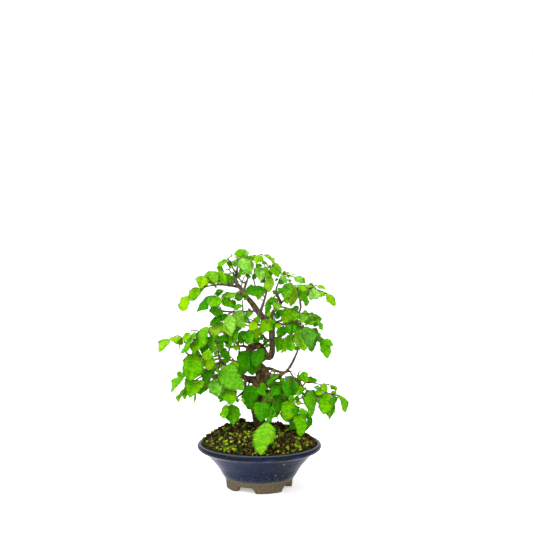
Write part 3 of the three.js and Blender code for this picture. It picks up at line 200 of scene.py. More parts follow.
# Wood that the solids have: marks x, z, depth and radius along the stem and each limb.
LIMBS = {
    "stem": [
        (0, 58.5, 0, 7.6), (0.6, 70, 0, 7.7), (0.8, 77, 0, 7.3), (-1.2, 87, 0, 7),
        (-3.2, 97, 1, 6.9), (-1.4, 108, 1, 6.5), (0.4, 120, 1, 7.2), (3.4, 131, 0, 8.6),
        (4.2, 139.5, 0, 8.9), (0.4, 147.5, 1, 7.2), (-5, 153, 4, 6), (-10, 159, 7, 5.3),
        (-12.5, 165.5, 8, 5), (-10.5, 171.5, 7, 4.8), (-4.5, 175, 5, 4.5), (1.2, 173.5, 3, 4.3),
        (5.5, 167.5, 2, 4.2), (9.4, 161.8, 1, 4.2), (13.2, 161.5, 1, 4), (15.5, 167, 1, 3.6),
        (16, 176, 1, 3.5), (15.7, 190, 1, 3.9), (15, 200, 2, 4.3),
    ],
    "main_left": [
        (15.2, 198, 2, 4.1), (12.5, 204, 2, 4.4), (3.5, 210.5, 1, 4.3), (-5, 222, -1, 3.4),
        (-27.5, 252, 2, 2.2), (-28.6, 258, 3, 2), (-26.6, 272, 3, 1.1),
    ],
    "fork": [(-28.6, 257, 3, 1.5), (-32, 265.5, 1, 1)],
    "fork_top": [(-28.2, 264, 3, 1.2), (-33, 271.5, 0, 0.8)],
    "apex_right": [(-19.5, 241, 0, 1.7), (-12, 265, -3, 0.9), (-13.6, 270, -3, 0.7)],
    "apex_link": [(-16.2, 252.5, -1, 1), (-20, 253, 0, 1), (-28, 261, 3, 1)],
    "left_top": [(-25, 247.5, 1, 2), (-46, 250.2, -4, 1.3), (-63, 248.3, -7, 0.9)],
    "centre_twig": [(0.5, 213, 0, 2), (8.9, 241.5, -4, 1.2), (6.8, 252, -5, 0.8)],
    "centre_side": [(7.2, 234.5, -3, 0.9), (0.4, 241.6, -1, 0.7)],
    "centre_arch": [
        (8.7, 241, -4, 0.9), (2, 245, 0, 0.8), (-4.3, 248, -3, 0.8), (-8, 262, -8, 0.7),
    ],
    "right_centre": [
        (15, 201, 2, 2.8), (16.8, 217, 1, 2), (26, 226, -1, 1.9), (20.8, 242, -2, 1.3),
        (24.4, 255.5, -4, 0.8),
    ],
    "right_centre_side": [(26.5, 227, -1, 1.2), (37.5, 239, -6, 0.7)],
    "right_centre_spur": [(21.2, 237.5, -2, 0.8), (15.6, 233.2, -1, 0.6)],
    "right_long": [(17, 216, 1, 1.6), (25.5, 222.4, 0, 1), (36, 220.6, -2, 1), (51, 214.8, -5, 1)],
    "right_rise": [
        (48.3, 215.6, -5, 1.1), (50.4, 220, -5, 1.1), (50.4, 227, -6, 1.2), (46.4, 245.8, -9, 0.8),
    ],
    "right_rise_side": [(50.2, 230, -6, 1), (57.2, 235.8, -9, 0.9)],
    "right_mid": [(15.9, 183.5, 1, 1.6), (26, 186, -1, 1.2), (33.8, 191.8, -3, 1)],
    "right_mid_thin": [(15.9, 179.5, 1, 1), (24, 180.3, 0, 0.8), (35, 186.5, -3, 0.5)],
    "right_upper": [
        (15.4, 197.5, 2, 1.4), (20, 202.5, 1, 1.4), (33, 200.5, -3, 1), (38.5, 202, -4, 0.9),
    ],
    "right_slant": [
        (6, 128, 0, 3), (13, 129.5, -4, 2), (21, 133.8, -8, 1.7), (36.3, 146.8, -13, 1.7),
        (47.4, 169.5, -16, 1.1), (45.2, 173, -16, 1),
    ],
    "right_slant_knob": [(35.6, 146.5, -13, 1.2), (38.9, 148.6, -13, 1)],
    "right_low": [
        (2, 120, 0, 4.2), (9, 119, -3, 2.4), (16, 117.5, -6, 1.9), (25, 118, -10, 1.7),
        (43.5, 117.5, -14, 1.5), (68, 112, -16, 1.2), (73, 113.2, -16, 1.4), (77.6, 118, -16, 0.9),
    ],
    "right_low_spur": [(24.6, 118.5, -10, 1.2), (32, 127.8, -12, 0.9)],
    "right_low_rise": [(46, 116.5, -14, 1.2), (56.6, 128.6, -16, 0.9)],
    "right_low_drop": [(32, 117.5, -12, 1.3), (33.8, 107.6, -15, 1.1)],
    "dead_spur": [(45.2, 117.4, -14, 1.2), (47.5, 137, -17, 1), (50.1, 144.5, -18, 0.5)],
    "left_long": [
        (-1.5, 216.5, 0, 1.6), (-8, 217.6, -2, 1.2), (-28, 216.4, -5, 1.2), (-46, 218, -8, 1),
        (-47, 221.5, -8, 0.8),
    ],
    "left_long_up": [(-20, 217.5, -4, 0.9), (-20.3, 231, -6, 0.6)],
    "left_long_down": [(-22, 216.8, -4, 0.9), (-10.6, 203, -1, 1)],
    "left_mid": [(14.8, 196, 1, 2.3), (3, 199.7, 0, 1.7), (-20.8, 205.2, -5, 0.8)],
    "left_low": [
        (-11, 170.5, 7, 2.6), (-19.5, 174.3, 0, 1.6), (-34.8, 172.8, -6, 1.2),
        (-37.4, 167.5, -8, 0.9),
    ],
    "left_low_a": [(-19, 174.2, 0, 1), (-19.4, 178.6, -2, 0.8), (-17.4, 181.6, -4, 0.6)],
    "left_low_b": [(-24.2, 173.6, -3, 1), (-25.2, 164.4, -5, 0.8)],
    "left_low_c": [(-25.4, 173.8, -3, 0.9), (-26, 190, -7, 0.9)],
    "left_low_d": [(-30.2, 173.4, -5, 1), (-31.2, 179.5, -6, 0.8)],
    "loop_link": [(4, 175, 2, 1.7), (15.6, 185, 1, 1.1)],
    "loop_thin": [(6.8, 172.4, 1, 0.9), (15.8, 176.6, 1, 0.8)],
    "loop_foot": [(9.2, 160, 1, 1.8), (3.2, 154.4, 0, 0.6)],
    "stub_left": [(1, 132, 0, 6), (-12, 133.2, -2, 4.2), (-20.6, 136.6, -4, 2.8)],
    "stub_drop": [
        (-17.2, 132, -4, 2), (-17.4, 121.5, -6, 1.5), (-19, 118, -7, 1.6), (-28.4, 109.2, -10, 0.9),
        (-21.4, 107, -10, 0.6),
    ],
    "stub_drop_in": [(-12.6, 131.5, -2, 1.2), (-12.8, 127, -4, 1), (-17, 121.8, -6, 1)],
    "far_left": [
        (-19, 136, -4, 2.2), (-34.5, 146.3, -13, 1.1), (-47.8, 156, -19, 1.6),
        (-50.4, 166.5, -20, 1), (-57.3, 171.2, -20, 0.9),
    ],
    "far_left_up": [(-50.4, 166, -20, 0.9), (-51.2, 178.6, -20, 0.6)],
    "far_left_out": [
        (-49.4, 162.4, -19, 1), (-63, 160.6, -21, 0.9), (-88, 164.6, -24, 1.1),
        (-88.8, 174, -25, 0.7),
    ],
    "far_left_low": [
        (-47.6, 155, -19, 1.2), (-51, 151.8, -20, 0.9), (-56, 151.6, -22, 0.9),
        (-65, 154.6, -23, 1), (-74.6, 150.6, -22, 1.1), (-64, 143.8, -20, 1),
        (-65.6, 140.8, -20, 0.9), (-77.5, 132.2, -22, 1),
    ],
    "back_left": [
        (-4, 152, 4, 4), (-10, 151, 14, 2.4), (-20, 152, 26, 1.9), (-32, 156, 38, 1.5),
        (-43, 158, 46, 1.1),
    ],
    "back_right": [
        (2, 142, 0, 5), (6, 146, 12, 2.4), (15, 146, 26, 1.9), (27, 142, 38, 1.5),
        (38, 143, 46, 1.1),
    ],
    "back_mid": [
        (15.6, 188, 1, 2.6), (16, 190, 10, 2), (11, 194, 24, 1.7), (0, 196, 36, 1.4),
        (-12, 199, 44, 1.1),
    ],
    "back_mid_right": [
        (15.2, 199, 2, 3), (20, 203, 12, 1.9), (31, 207, 24, 1.5), (43, 207, 34, 1.2),
    ],
    "back_top": [(-4, 221, -1, 2.6), (-6, 226, 8, 1.8), (-13, 232, 20, 1.4), (-23, 239, 30, 1.1)],
    "back_top_right": [(21.5, 236, -2, 1.5), (24, 240, 8, 1.3), (31, 244, 18, 1.1)],
}

# Stumps and spurs that only the looks have, marked like limbs.
SPURS = {
    "bulge_knob": [(6.5, 127, -4, 5), (7, 136, -4, 6.3), (6, 143, -4, 5.8), (5, 147.2, -3, 3.2)],
    "bulge_root": [(-9, 133, -6, 2.6), (-5, 127, -9, 3.4), (-1, 120, -9, 3.2), (1, 112, -6, 2.4)],
    "apex_spur": [(-17, 249, 0, 0.8), (-17.6, 255.5, -1, 0.5)],
    "left_top_spur": [(-36, 249.2, -2, 0.8), (-38.8, 254.8, -3, 0.5)],
    "left_top_knob": [(-34, 249, -2, 0.8), (-33.6, 254.2, -2, 0.6)],
    "centre_side_low": [(6.2, 229.8, -2, 0.8), (1.5, 232.6, -3, 0.5)],
    "centre_short": [(9, 206, 1, 0.9), (8.2, 217, -1, 0.7), (6.7, 224.5, -2, 0.5)],
    "right_centre_twin": [(15.8, 201, 2, 1), (19, 208, 1, 0.8), (18.6, 215.5, 0, 0.6)],
    "right_centre_knob": [(21, 240, -2, 0.8), (28.3, 243.6, -3, 0.5)],
    "right_slant_thin": [
        (35.6, 144.8, -13, 0.7), (41, 141.8, -14, 0.6), (47.2, 137.5, -15, 0.5),
        (53.5, 134, -16, 0.4),
    ],
    "far_left_knob": [(-87.8, 165.6, -24, 0.9), (-90.8, 167, -24, 0.6)],
    "far_left_twig": [(-64.5, 154.4, -23, 0.8), (-69.6, 158.6, -23, 0.5)],
}

# Near sprays. Twigs are marked by x, z and depth. Leaves (those that the solids have), young and
# fill leaves by the base's x and z, the tip's x and z, the width that shows and, for some, both
# depths. Tones: leaf by leaf from 0, deep, to 9, bright, which paint each leaf's own green together
# with painted shade and light, darker for leaves in shade and brighter for those in the light; and
# pale sheen from 0, none, to 9, a painted reflection of the sky. Sides: the breadth right and left
# of the way from base to tip, from 0, two thirds, to 9, a third more than the marked one. Forms:
# left and right of that way the powers by which the breadth grows and falls, and a factor on it.
SPRAYS = {
    "apex": {
        "twigs": [[(-26.8, 271, 3), (-25.6, 277, 3), (-26.6, 283, 2)]],
        "leaves": [
            (-28.5, 284, -12, 290, 11), (-23, 281.5, -8.5, 262, 17, -9, -17),
            (-26.5, 274, -33, 279, 6),
        ],
        "fill": [(-30.7, 287.1, -17.3, 292.6, 8.5), (-25.9, 264.9, -23.2, 258.3, 5.5)],
        "tones": ("554", "853"), "sides": ("43804", "52954"),
        "forms": {1: ((0.6, 1.15, 1), (0.55, 1.0, 1))},
    },
    "apex_left": {
        "twigs": [
            [(-32.6, 271.2, 0), (-35, 277.5, -3), (-37.5, 281, -4)],
            [(-34, 274.9, -1.7), (-36.5, 269.5, -4), (-41, 268.5, -5)],
            [(-36.5, 269.5, -4), (-34, 264.5, -5)],
        ],
        "leaves": [
            (-38, 279, -51, 274.5, 6), (-41, 280, -34, 284.5, 2.4), (-33, 264.5, -41, 257, 2.6),
        ],
        "young": [
            (-34.2, 284, -33.5, 288.5, 1.8), (-32, 273.5, -36.5, 270, 2.6),
            (-31.5, 261, -34, 254.8, 4.6),
        ],
        "fill": [(-33.5, 274.8, -40.2, 276.7, 6.1)],
        "tones": ("776642", "000300"), "sides": ("8045745", "2905446"),
    },
    "apex_right": {
        "twigs": [
            [(-13.3, 268.6, -3), (-13.4, 272, -6)],
            [(-13.4, 270.8, -5), (-11.6, 266, -8), (-12.2, 262.6, -8)],
        ],
        "leaves": [(-14, 270.5, -25.5, 264, 9.5), (-12.2, 262, -14.5, 255.8, 5.6)],
        "young": [(-13.5, 265.5, -23, 261, 3)],
        "tones": ("423", "003"), "sides": ("425", "884"),
    },
    "left_top_near": {
        "twigs": [[(-50, 249.9, -5), (-50, 253.5, -7), (-46, 262, -9), (-43.4, 267, -10)]],
        "leaves": [
            (-49.5, 267, -40, 250.6, 12.5), (-57.5, 266.6, -53, 252, 11.5),
            (-43.8, 269, -52.5, 270.3, 4.6), (-60, 267, -63, 252, 9),
            (-41.5, 262.5, -40.3, 255, 3.6),
        ],
        "young": [(-53, 248.6, -54, 245.6, 3)],
        "fill": [(-53.7, 250.9, -62, 252.6, 4.3)],
        "tones": ("665667", "010000"), "sides": ("1494453", "5482454"),
    },
    "left_top_far": {
        "twigs": [
            [
                (-62, 248.4, -7), (-66, 247.2, -9.6), (-70, 244.6, -11), (-78, 240.5, -14),
                (-86, 236.6, -16),
            ],
            [(-66, 247.2, -9.6), (-69.2, 253, -13), (-68.5, 259, -14), (-63, 265, -14)],
        ],
        "leaves": [
            (-68.5, 260.5, -72.6, 245.6, 13.5), (-64, 253.5, -70.5, 247.4, 6),
            (-61.5, 265.8, -66.5, 257.4, 5.4), (-73, 246, -86.5, 231, 11.5),
            (-86, 236.4, -93.6, 217, 11),
        ],
        "fill": [(-68.4, 248.1, -72.1, 239, 4.9)],
        "tones": ("84679", "00000"), "sides": ("544500", "440494"),
    },
    "left_fold": {
        "twigs": [
            [(-46.8, 221, -8), (-52, 225, -12), (-56, 230.6, -15)],
            [(-52, 225, -12), (-52.6, 231.5, -14), (-57, 236.6, -16)],
        ],
        "leaves": [
            (-60, 236.5, -76.6, 216, 9.5), (-50.5, 222, -56, 212.4, 11),
            (-54.5, 237, -42, 243.6, 2.8), (-53, 236.6, -63, 226, 9.5),
            (-47, 231, -31, 222.6, 10.5), (-47, 233, -61, 222.5, 9),
        ],
        "fill": [(-52.3, 236.2, -43.1, 242.3, 4.9)],
        "tones": ("132356", "000300"), "sides": ("5904595", "0745051"),
    },
    "left_arch": {
        "twigs": [
            [(-15.5, 235.5, 0), (-19, 235, -4), (-23, 236.4, -6), (-27, 238.8, -7), (-31, 236, -8)],
        ],
        "leaves": [
            (-28, 239.3, -47, 233, 6.2), (-19.8, 234, -31.6, 233, 7.5),
            (-33, 231.5, -31, 220.6, 10),
        ],
        "young": [(-19.2, 234, -14.6, 231.4, 3.6)],
        "tones": ("6354", "0000"), "sides": ("5104", "0545"),
    },
    "left_long_tip": {
        "twigs": [
            [(-46, 218.4, -8), (-47.2, 213.4, -10), (-43, 209.4, -12), (-39, 205.4, -13)],
            [(-47.2, 213.4, -10), (-50.5, 209.5, -12)],
        ],
        "leaves": [
            (-44.5, 204.4, -57, 184.6, 12.5), (-42, 205, -33, 186, 10),
            (-50.4, 210.4, -61.4, 199, 8.5), (-46.6, 213.4, -51.6, 204, 8),
        ],
        "tones": ("9921", "2200"), "sides": ("1458", "7404"),
    },
    "left_long_low": {
        "twigs": [
            [(-32, 216.8, -6), (-35, 215, -9), (-38, 213, -11)],
            [(-33.5, 215.9, -7.5), (-29, 220, -9), (-24, 224.8, -8)],
        ],
        "leaves": [
            (-31, 216.6, -17.4, 196.6, 14.5), (-36.6, 213, -32.6, 189.6, 13),
            (-22.4, 225.6, -30, 222.2, 4), (-39.4, 214, -45, 206, 6),
        ],
        "fill": [(-30.3, 218.3, -19.3, 225.1, 5.5)],
        "tones": ("6641", "4500"), "sides": ("64444", "55043"),
    },
    "left_shade": {
        "twigs": [
            [
                (-31, 178.5, -6), (-36, 184, -8), (-40, 188.5, -10), (-43.6, 193.6, -12),
                (-49, 190.8, -14),
            ],
            [
                (-36, 184, -8), (-33, 188.5, -10), (-28, 186, -12), (-28.6, 179, -14),
                (-29, 176.4, -14),
            ],
            [(-40, 188.5, -10), (-44, 186.5, -14), (-46.6, 184, -15)],
        ],
        "leaves": [
            (-41.4, 188.6, -47, 177, 9), (-37.4, 186, -40.6, 175.4, 7.5),
            (-47, 183, -47.6, 165.4, 8.5), (-33, 186, -34.6, 174.4, 5.6),
            (-30, 190.4, -37, 184.4, 5), (-27.6, 184, -30.6, 175.4, 2.4),
            (-25.4, 183, -26.8, 175, 2.2), (-29, 175.4, -27.6, 168, 5.4),
        ],
        "fill": [
            (-50.8, 188.1, -54.3, 175.7, 6.7), (-26.7, 193, -30.4, 182.5, 6.1),
            (-34.1, 174, -42.9, 175.1, 5.5),
        ],
        "tones": ("16655666", "00000000"), "sides": ("54494499343", "45644476445"),
    },
    "left_low_tip": {
        "twigs": [[(-37.2, 169, -8), (-37, 163.5, -13), (-34.5, 160.5, -15), (-31, 157, -16)]],
        "leaves": [
            (-38, 167.4, -46.6, 160, 9.6), (-37, 160, -50, 146.6, 8.6), (-31, 155, -38, 150.8, 1.8),
        ],
        "fill": [(-33.5, 154.6, -25.3, 149, 5.5)],
        "tones": ("265", "000"), "sides": ("9144", "5454"),
    },
    "inner_round": {
        "twigs": [[(-17.6, 181.2, -4), (-16, 185, -9), (-15.4, 189, -11)]],
        "leaves": [(-15.4, 193, -9.4, 176.6, 16.5), (-20.6, 190.6, -22.8, 176.2, 8.6)],
        "fill": [(-18.3, 181.5, -12, 176.2, 5.5), (-21.7, 196.7, -28.9, 194.4, 5.5)],
        "tones": ("43", "00"), "sides": ("5540", "6404"),
    },
    "inner_bright": {
        "twigs": [
            [(-2.6, 200.4, -1), (-3.4, 203.4, -6), (0.4, 208.6, -8)],
            [(-3.4, 203.4, -6), (-9, 206.6, -9), (-13.4, 208.6, -9), (-12.8, 215.4, -9)],
        ],
        "leaves": [
            (1.4, 209.6, -7, 204, 6.4), (-3.6, 203.6, -12.6, 194, 9.4),
            (-14.6, 209.2, -19.6, 205.4, 5.6), (-12.6, 217, -13.6, 210, 6.6),
        ],
        "tones": ("6855", "0000"), "sides": ("6554", "6544"),
    },
    "heart": {
        "twigs": [
            [(12, 205, 2), (11.4, 210, -6), (13.4, 213.4, -8), (11.4, 220, -9), (12, 225.4, -9)],
            [(11.4, 210, -6), (8, 203, -10), (3.6, 198.4, -10)],
        ],
        "leaves": [
            (13, 207.4, 2, 190.6, 12), (1.4, 196.4, -4.6, 183.4, 7.4),
            (15.4, 203.4, 14.6, 191.6, 4.6), (12.6, 210.6, 12, 203.4, 3.6),
            (14, 206.6, 19.4, 202, 5), (12, 226.6, 10, 217, 5.4), (7.6, 227, 15, 221, 3),
        ],
        "young": [(10.4, 217, 6.8, 213, 3.2)],
        "fill": [(8.3, 228.8, 18.1, 224.8, 4.9), (13.4, 217.9, 9.8, 210.8, 4.9)],
        "tones": ("79182323", "00000000"), "sides": ("9754945444", "5544457764"),
    },
    "loop": {
        "twigs": [
            [(10.4, 181.6, 1), (7, 185, -4), (4.6, 189.6, -6), (3, 192.6, -6)],
            [(8.2, 183.8, -2.2), (12, 181.6, -6), (13.6, 178.4, -6)],
        ],
        "leaves": [(13.6, 177.2, 7.4, 173.4, 2.8)],
        "young": [
            (6.6, 186.6, 0, 186, 4), (5, 183.4, -1, 183.6, 3.2), (5, 182.6, 8.6, 179.4, 4),
            (12.4, 182, 12, 178.4, 2.2),
        ],
        "fill": [(0.9, 184.6, -8.9, 179.4, 7.9)],
        "tones": ("44332", "00000"), "sides": ("448754", "996755"),
    },
    "crown_left": {
        "twigs": [
            [
                (-7.6, 261, -8), (-4, 268, -10), (-3.6, 276, -10), (-4, 282, -10), (-1, 286, -11),
                (4, 287.2, -12),
            ],
        ],
        "leaves": [
            (4.4, 286.6, 18.6, 275, 5.6), (3, 286, 1.4, 277, 6.6), (-2, 286, -3.6, 274.6, 5.6),
            (1.6, 271.6, 1.6, 253.6, 11.5), (3.6, 274, -4.6, 270.4, 4.2),
        ],
        "young": [(-9.6, 284.4, -3, 285, 3.2)],
        "fill": [(-5.7, 280.9, -16.1, 284, 5.5), (-3.3, 262.6, -8.2, 255.8, 6.1)],
        "tones": ("778504", "100603"), "sides": ("01852340", "64475454"),
    },
    "crown_right": {
        "twigs": [
            [
                (6.9, 251, -5), (6.4, 261, -9), (8, 268, -11), (11, 270.8, -12), (16, 272.4, -13),
                (18, 276, -13),
            ],
            [(8, 268, -11), (6.8, 273, -11), (4.4, 279.6, -11)],
        ],
        "leaves": [
            (18, 277, 27.6, 261, 7.6), (13, 270.4, 24, 259.4, 7.6), (14.2, 269, 15, 260.4, 6.2),
            (13, 262, 12, 240.8, 11.6), (8.4, 272.4, 7.4, 256.6, 6), (4, 280, 10.4, 272.8, 3.8),
        ],
        "young": [(11.4, 271, 14.6, 274.2, 2.6)],
        "fill": [(6.2, 256.8, 1.2, 252.3, 5.5)],
        "tones": ("7608667", "0002000"), "sides": ("05405053", "94554955"),
    },
    "mid_high": {
        "twigs": [
            [(8.8, 241.8, -4), (10.2, 244.6, -7)],
            [(9.5, 243.2, -5.5), (5, 244, -8), (1, 242.6, -8)],
        ],
        "leaves": [(8, 243.8, -19.4, 237, 12), (0.4, 241, -1.6, 230.6, 7.4)],
        "young": [(9.8, 244.6, 14, 241.4, 3.4), (10.4, 246.6, 4, 244.4, 3)],
        "tones": ("3875", "0000"), "sides": ("4444", "4474"),
    },
    "right_tip": {
        "twigs": [
            [(24.2, 254.8, -4), (27, 259.4, -7), (30.4, 262, -9), (34, 262.6, -10)],
            [(27, 259.4, -7), (32.4, 260.4, -9), (37.6, 261.4, -11), (43, 259, -12)],
        ],
        "leaves": [
            (43, 259, 54.6, 251.4, 8.8), (26, 261, 33.6, 251.4, 4.6), (30, 256.4, 40.6, 254, 2.4),
            (33.6, 260, 42, 260.2, 2.4),
        ],
        "young": [
            (29.4, 262.4, 30.6, 267.6, 3), (32.4, 262.8, 37, 265, 2.8),
            (37.4, 262.8, 44.4, 262, 1.8), (23.4, 257, 19, 255, 2.6),
        ],
        "fill": [(25.4, 256.4, 28.2, 250.3, 6.1)],
        "tones": ("65578783", "33300000"), "sides": ("490056055", "069589056"),
    },
    "right_crown": {
        "twigs": [
            [(37.2, 238.8, -6), (40, 244, -12), (39.6, 250, -15)],
            [(39.7, 248, -14), (35, 249.6, -14), (31, 247.6, -14)],
        ],
        "leaves": [
            (38, 252.4, 30, 233, 12.6), (42, 249.6, 38.4, 222.6, 12), (35, 250.4, 27.4, 243, 7),
            (29, 246, 22, 240, 4.2), (31, 247, 33, 239, 5),
        ],
        "fill": [(31.5, 233.1, 35.2, 225.7, 6.1)],
        "tones": ("58523", "10003"), "sides": ("434447", "451941"),
    },
    "right_rise_top": {
        "twigs": [
            [
                (46.5, 245.4, -9), (47.6, 247.4, -12), (54, 246.6, -14), (62, 245, -15),
                (66.4, 247.8, -16), (70, 249.8, -16),
            ],
            [(47.6, 247.4, -12), (43.4, 249.6, -14)],
        ],
        "leaves": [
            (44.4, 249.4, 60, 244, 5.8), (53, 247.6, 66.4, 247.4, 3.6),
            (70.4, 248.6, 81.6, 244.4, 4.4), (49.6, 244, 52.4, 231.6, 6),
        ],
        "fill": [(55.7, 252.1, 53.5, 260.1, 4.3)],
        "tones": ("6683", "0100"), "sides": ("00047", "44840"),
    },
    "right_rise_side": {
        "twigs": [
            [(57, 235.6, -9), (60.6, 239, -12), (64, 243.4, -14), (72, 243.6, -16), (82, 239, -18)],
        ],
        "leaves": [
            (54, 243, 57.4, 223.4, 10), (60.4, 239, 77, 236.6, 12.5), (62, 243.4, 60, 235.6, 4.6),
            (82, 239, 92.4, 223.4, 9.4), (72.4, 243.2, 84, 237, 2.8),
        ],
        "fill": [(75.3, 240.8, 80.5, 236.2, 4.9)],
        "tones": ("45578", "08300"), "sides": ("054504", "944054"),
    },
    "right_long_tip": {
        "twigs": [[(50.4, 214.9, -5), (55, 214.8, -8), (62, 213.6, -11), (69.6, 209, -13)]],
        "leaves": [
            (60, 214.4, 71.6, 209.4, 3.8), (66, 212.4, 69.6, 204.8, 3.8),
            (70.4, 207.4, 77.6, 192.6, 6.4), (54.4, 214.4, 53, 202.8, 11.5),
            (56, 213.4, 61.6, 208.8, 5.4),
        ],
        "young": [(53.4, 216, 60.6, 215.6, 3.8), (61.4, 212, 65.2, 207.2, 2)],
        "tones": ("5556655", "0002200"), "sides": ("0474544", "4406444"),
    },
    "right_long_mid": {
        "twigs": [
            [(42, 217.9, -3), (42.4, 219.6, -8), (46.6, 221, -10)],
            [(42.4, 219.6, -8), (39.6, 221, -11)],
            [(44.5, 220.3, -9), (46, 217, -12)],
        ],
        "leaves": [
            (48.6, 221.6, 40.4, 221.6, 6.8), (38.6, 220.4, 30.6, 203, 14),
            (46, 216.4, 42.4, 205, 10),
        ],
        "tones": ("266", "000"), "sides": ("655", "065"),
    },
    "right_near": {
        "twigs": [
            [(20.8, 221.2, 0), (21.4, 225, -6), (22.4, 231, -8), (23, 238, -9), (20.8, 242.4, -8)],
            [(21.4, 225, -6), (25, 221.4, -9)],
        ],
        "leaves": [
            (24.4, 219.6, 21.4, 206.8, 5.8), (23.4, 219.4, 29.8, 213.4, 5.2),
            (26.4, 222.4, 17, 226.4, 7), (22.4, 232.6, 8.4, 229, 7.6), (21, 227.4, 17.6, 218, 4.4),
        ],
        "young": [(20.6, 242.8, 17.4, 238.2, 3.8)],
        "tones": ("117574", "002000"), "sides": ("544546", "645079"),
    },
    "right_mid": {
        "twigs": [
            [(38.3, 201.9, -4), (40, 203, -8), (44, 202.4, -10), (47, 206, -11)],
            [(40, 203, -8), (34.6, 203, -11), (30.6, 201.2, -11)],
        ],
        "leaves": [
            (42, 201.6, 40, 188.6, 8.6), (48, 204, 44.4, 193.4, 8.6), (46.6, 209, 39.6, 200, 8.4),
            (30, 199.8, 22, 185.6, 7.8), (28.4, 199, 30.6, 187, 6.4), (34, 200.6, 36.6, 189, 8.4),
        ],
        "young": [(34, 205, 29, 201.4, 4)],
        "fill": [(27.3, 199.2, 18.7, 199.2, 6.1)],
        "tones": ("3453226", "0000000"), "sides": ("65550441", "44454494"),
    },
    "right_mid_low": {
        "twigs": [
            [(33.6, 191.6, -3), (37.6, 192.4, -8), (41, 190.4, -11)],
            [(37.6, 192.4, -8), (37.6, 186, -14), (37.8, 181, -15)],
            [(37.6, 186, -14), (33.6, 179, -15)],
        ],
        "leaves": [
            (40.4, 190, 26, 164.8, 15), (31.6, 176.6, 32, 167, 4.2), (39, 179.6, 40, 167.4, 8.2),
        ],
        "fill": [(24.2, 185.6, 21.8, 165.8, 9.8), (42.7, 170.7, 50.6, 170.4, 4.9)],
        "tones": ("675", "000"), "sides": ("20555", "04650"),
    },
    "right_hang": {
        "twigs": [
            [
                (47.6, 215.8, -4.5), (46.6, 208, -14), (45.6, 204.4, -15), (49, 203, -15),
                (52, 201.4, -15), (54.6, 199, -15), (55, 195.6, -16),
            ],
            [(55, 195.6, -16), (50, 194.6, -18), (45.6, 192.4, -18)],
            [(54.6, 199, -15), (60, 194, -17), (66, 188, -18), (72, 184, -19), (77, 182.2, -20)],
        ],
        "leaves": [
            (49.6, 195, 56, 168, 15.5), (57.4, 199, 62, 169.4, 15.5), (68, 190.6, 76, 188, 4.8),
            (77.4, 182.6, 83.6, 158.6, 13.5), (79, 182.4, 91.4, 175.4, 7.4),
            (56, 201, 71, 204.6, 3.8),
        ],
        "tones": ("703557", "220000"), "sides": ("550404", "854175"),
    },
    "far_left_top": {
        "twigs": [
            [
                (-88.7, 173.6, -25), (-91.6, 180, -26), (-94, 183.4, -26), (-100, 187.2, -27),
                (-108, 184, -28),
            ],
        ],
        "leaves": [
            (-96, 185, -111, 182, 5.6), (-109, 182.8, -123.4, 167.2, 10.5),
            (-93.4, 181.6, -105, 178.4, 8.4), (-97, 176.8, -98.4, 168.4, 2.2),
        ],
        "tones": ("8757", "0102"), "sides": ("4040", "5547"),
    },
    "far_left_mid": {
        "twigs": [
            [
                (-51.2, 178.2, -20), (-60, 184.4, -23), (-72, 188, -25), (-75, 193, -26),
                (-82, 194, -27), (-84.4, 191.8, -27),
            ],
            [(-60, 184.4, -23), (-62, 192, -26), (-63.6, 197, -27)],
        ],
        "leaves": [
            (-79, 192, -95, 164.8, 5.8), (-64, 198.6, -79.4, 163.4, 12), (-63.6, 184, -70, 163, 11),
            (-72, 189, -79.4, 185.4, 5.2), (-55.4, 189, -57.6, 165.6, 8.6),
        ],
        "fill": [(-84.9, 190.5, -94.2, 180.6, 7.3)],
        "tones": ("56015", "00000"), "sides": ("445569", "645954"),
    },
    "far_left_round": {
        "twigs": [[(-87, 164.4, -24), (-90.6, 153, -30), (-91.6, 143.4, -31)]],
        "leaves": [
            (-79.6, 164.4, -86.4, 131.4, 20), (-92, 142, -109, 115.2, 8.4),
            (-94.4, 140.6, -97, 128.6, 2.2),
        ],
        "fill": [(-78.9, 159.6, -75.2, 170.7, 8.5), (-95.6, 142.4, -101.5, 138, 4.9)],
        "tones": ("566", "000"), "sides": ("70455", "69996"),
    },
    "far_left_base": {
        "twigs": [
            [(-77, 132.6, -22), (-80, 131.4, -26), (-90, 124, -28)],
            [(-80, 131.4, -26), (-73, 131, -28), (-67, 127.6, -28), (-64, 123.4, -28)],
        ],
        "leaves": [
            (-79, 131.6, -86.6, 109.6, 20), (-91.4, 122, -99.4, 103.4, 3.8),
            (-79, 118, -79, 101.4, 3.4), (-63, 122, -76.4, 115.6, 7.4),
            (-74, 130.4, -69.6, 124.6, 3.4),
        ],
        "fill": [(-90.2, 126, -92.1, 108, 7.3), (-65.6, 119.8, -64.3, 133.5, 9.8)],
        "tones": ("68626", "00004"), "sides": ("6001484", "5604405"),
    },
    "far_left_inner": {
        "twigs": [
            [(-60.8, 153.6, -23), (-60.2, 158.6, -27), (-60, 161.4, -28)],
            [(-60.2, 158.6, -27), (-57.6, 151, -29), (-57, 146, -29)],
        ],
        "leaves": [(-60, 162, -63, 144.6, 12.5), (-57, 145, -69.4, 126.6, 9.8)],
        "fill": [(-64.2, 157.1, -61.7, 170.1, 9.1), (-55, 162.7, -51.3, 168.3, 5.5)],
        "tones": ("83", "00"), "sides": ("4493", "4064"),
    },
    "left_fan": {
        "twigs": [
            [
                (-47.4, 155.4, -19), (-50, 147.4, -25), (-51, 141, -27), (-53, 136.6, -28),
                (-57.6, 135.2, -28),
            ],
            [(-51, 141, -27), (-46, 131, -24), (-40, 123.4, -24)],
        ],
        "leaves": [
            (-47, 146.6, -19, 118.8, 23), (-55.6, 134, -51, 110.8, 15.5),
            (-38.4, 121.6, -34, 100.6, 17.5), (-42, 113, -48.4, 103.6, 4),
        ],
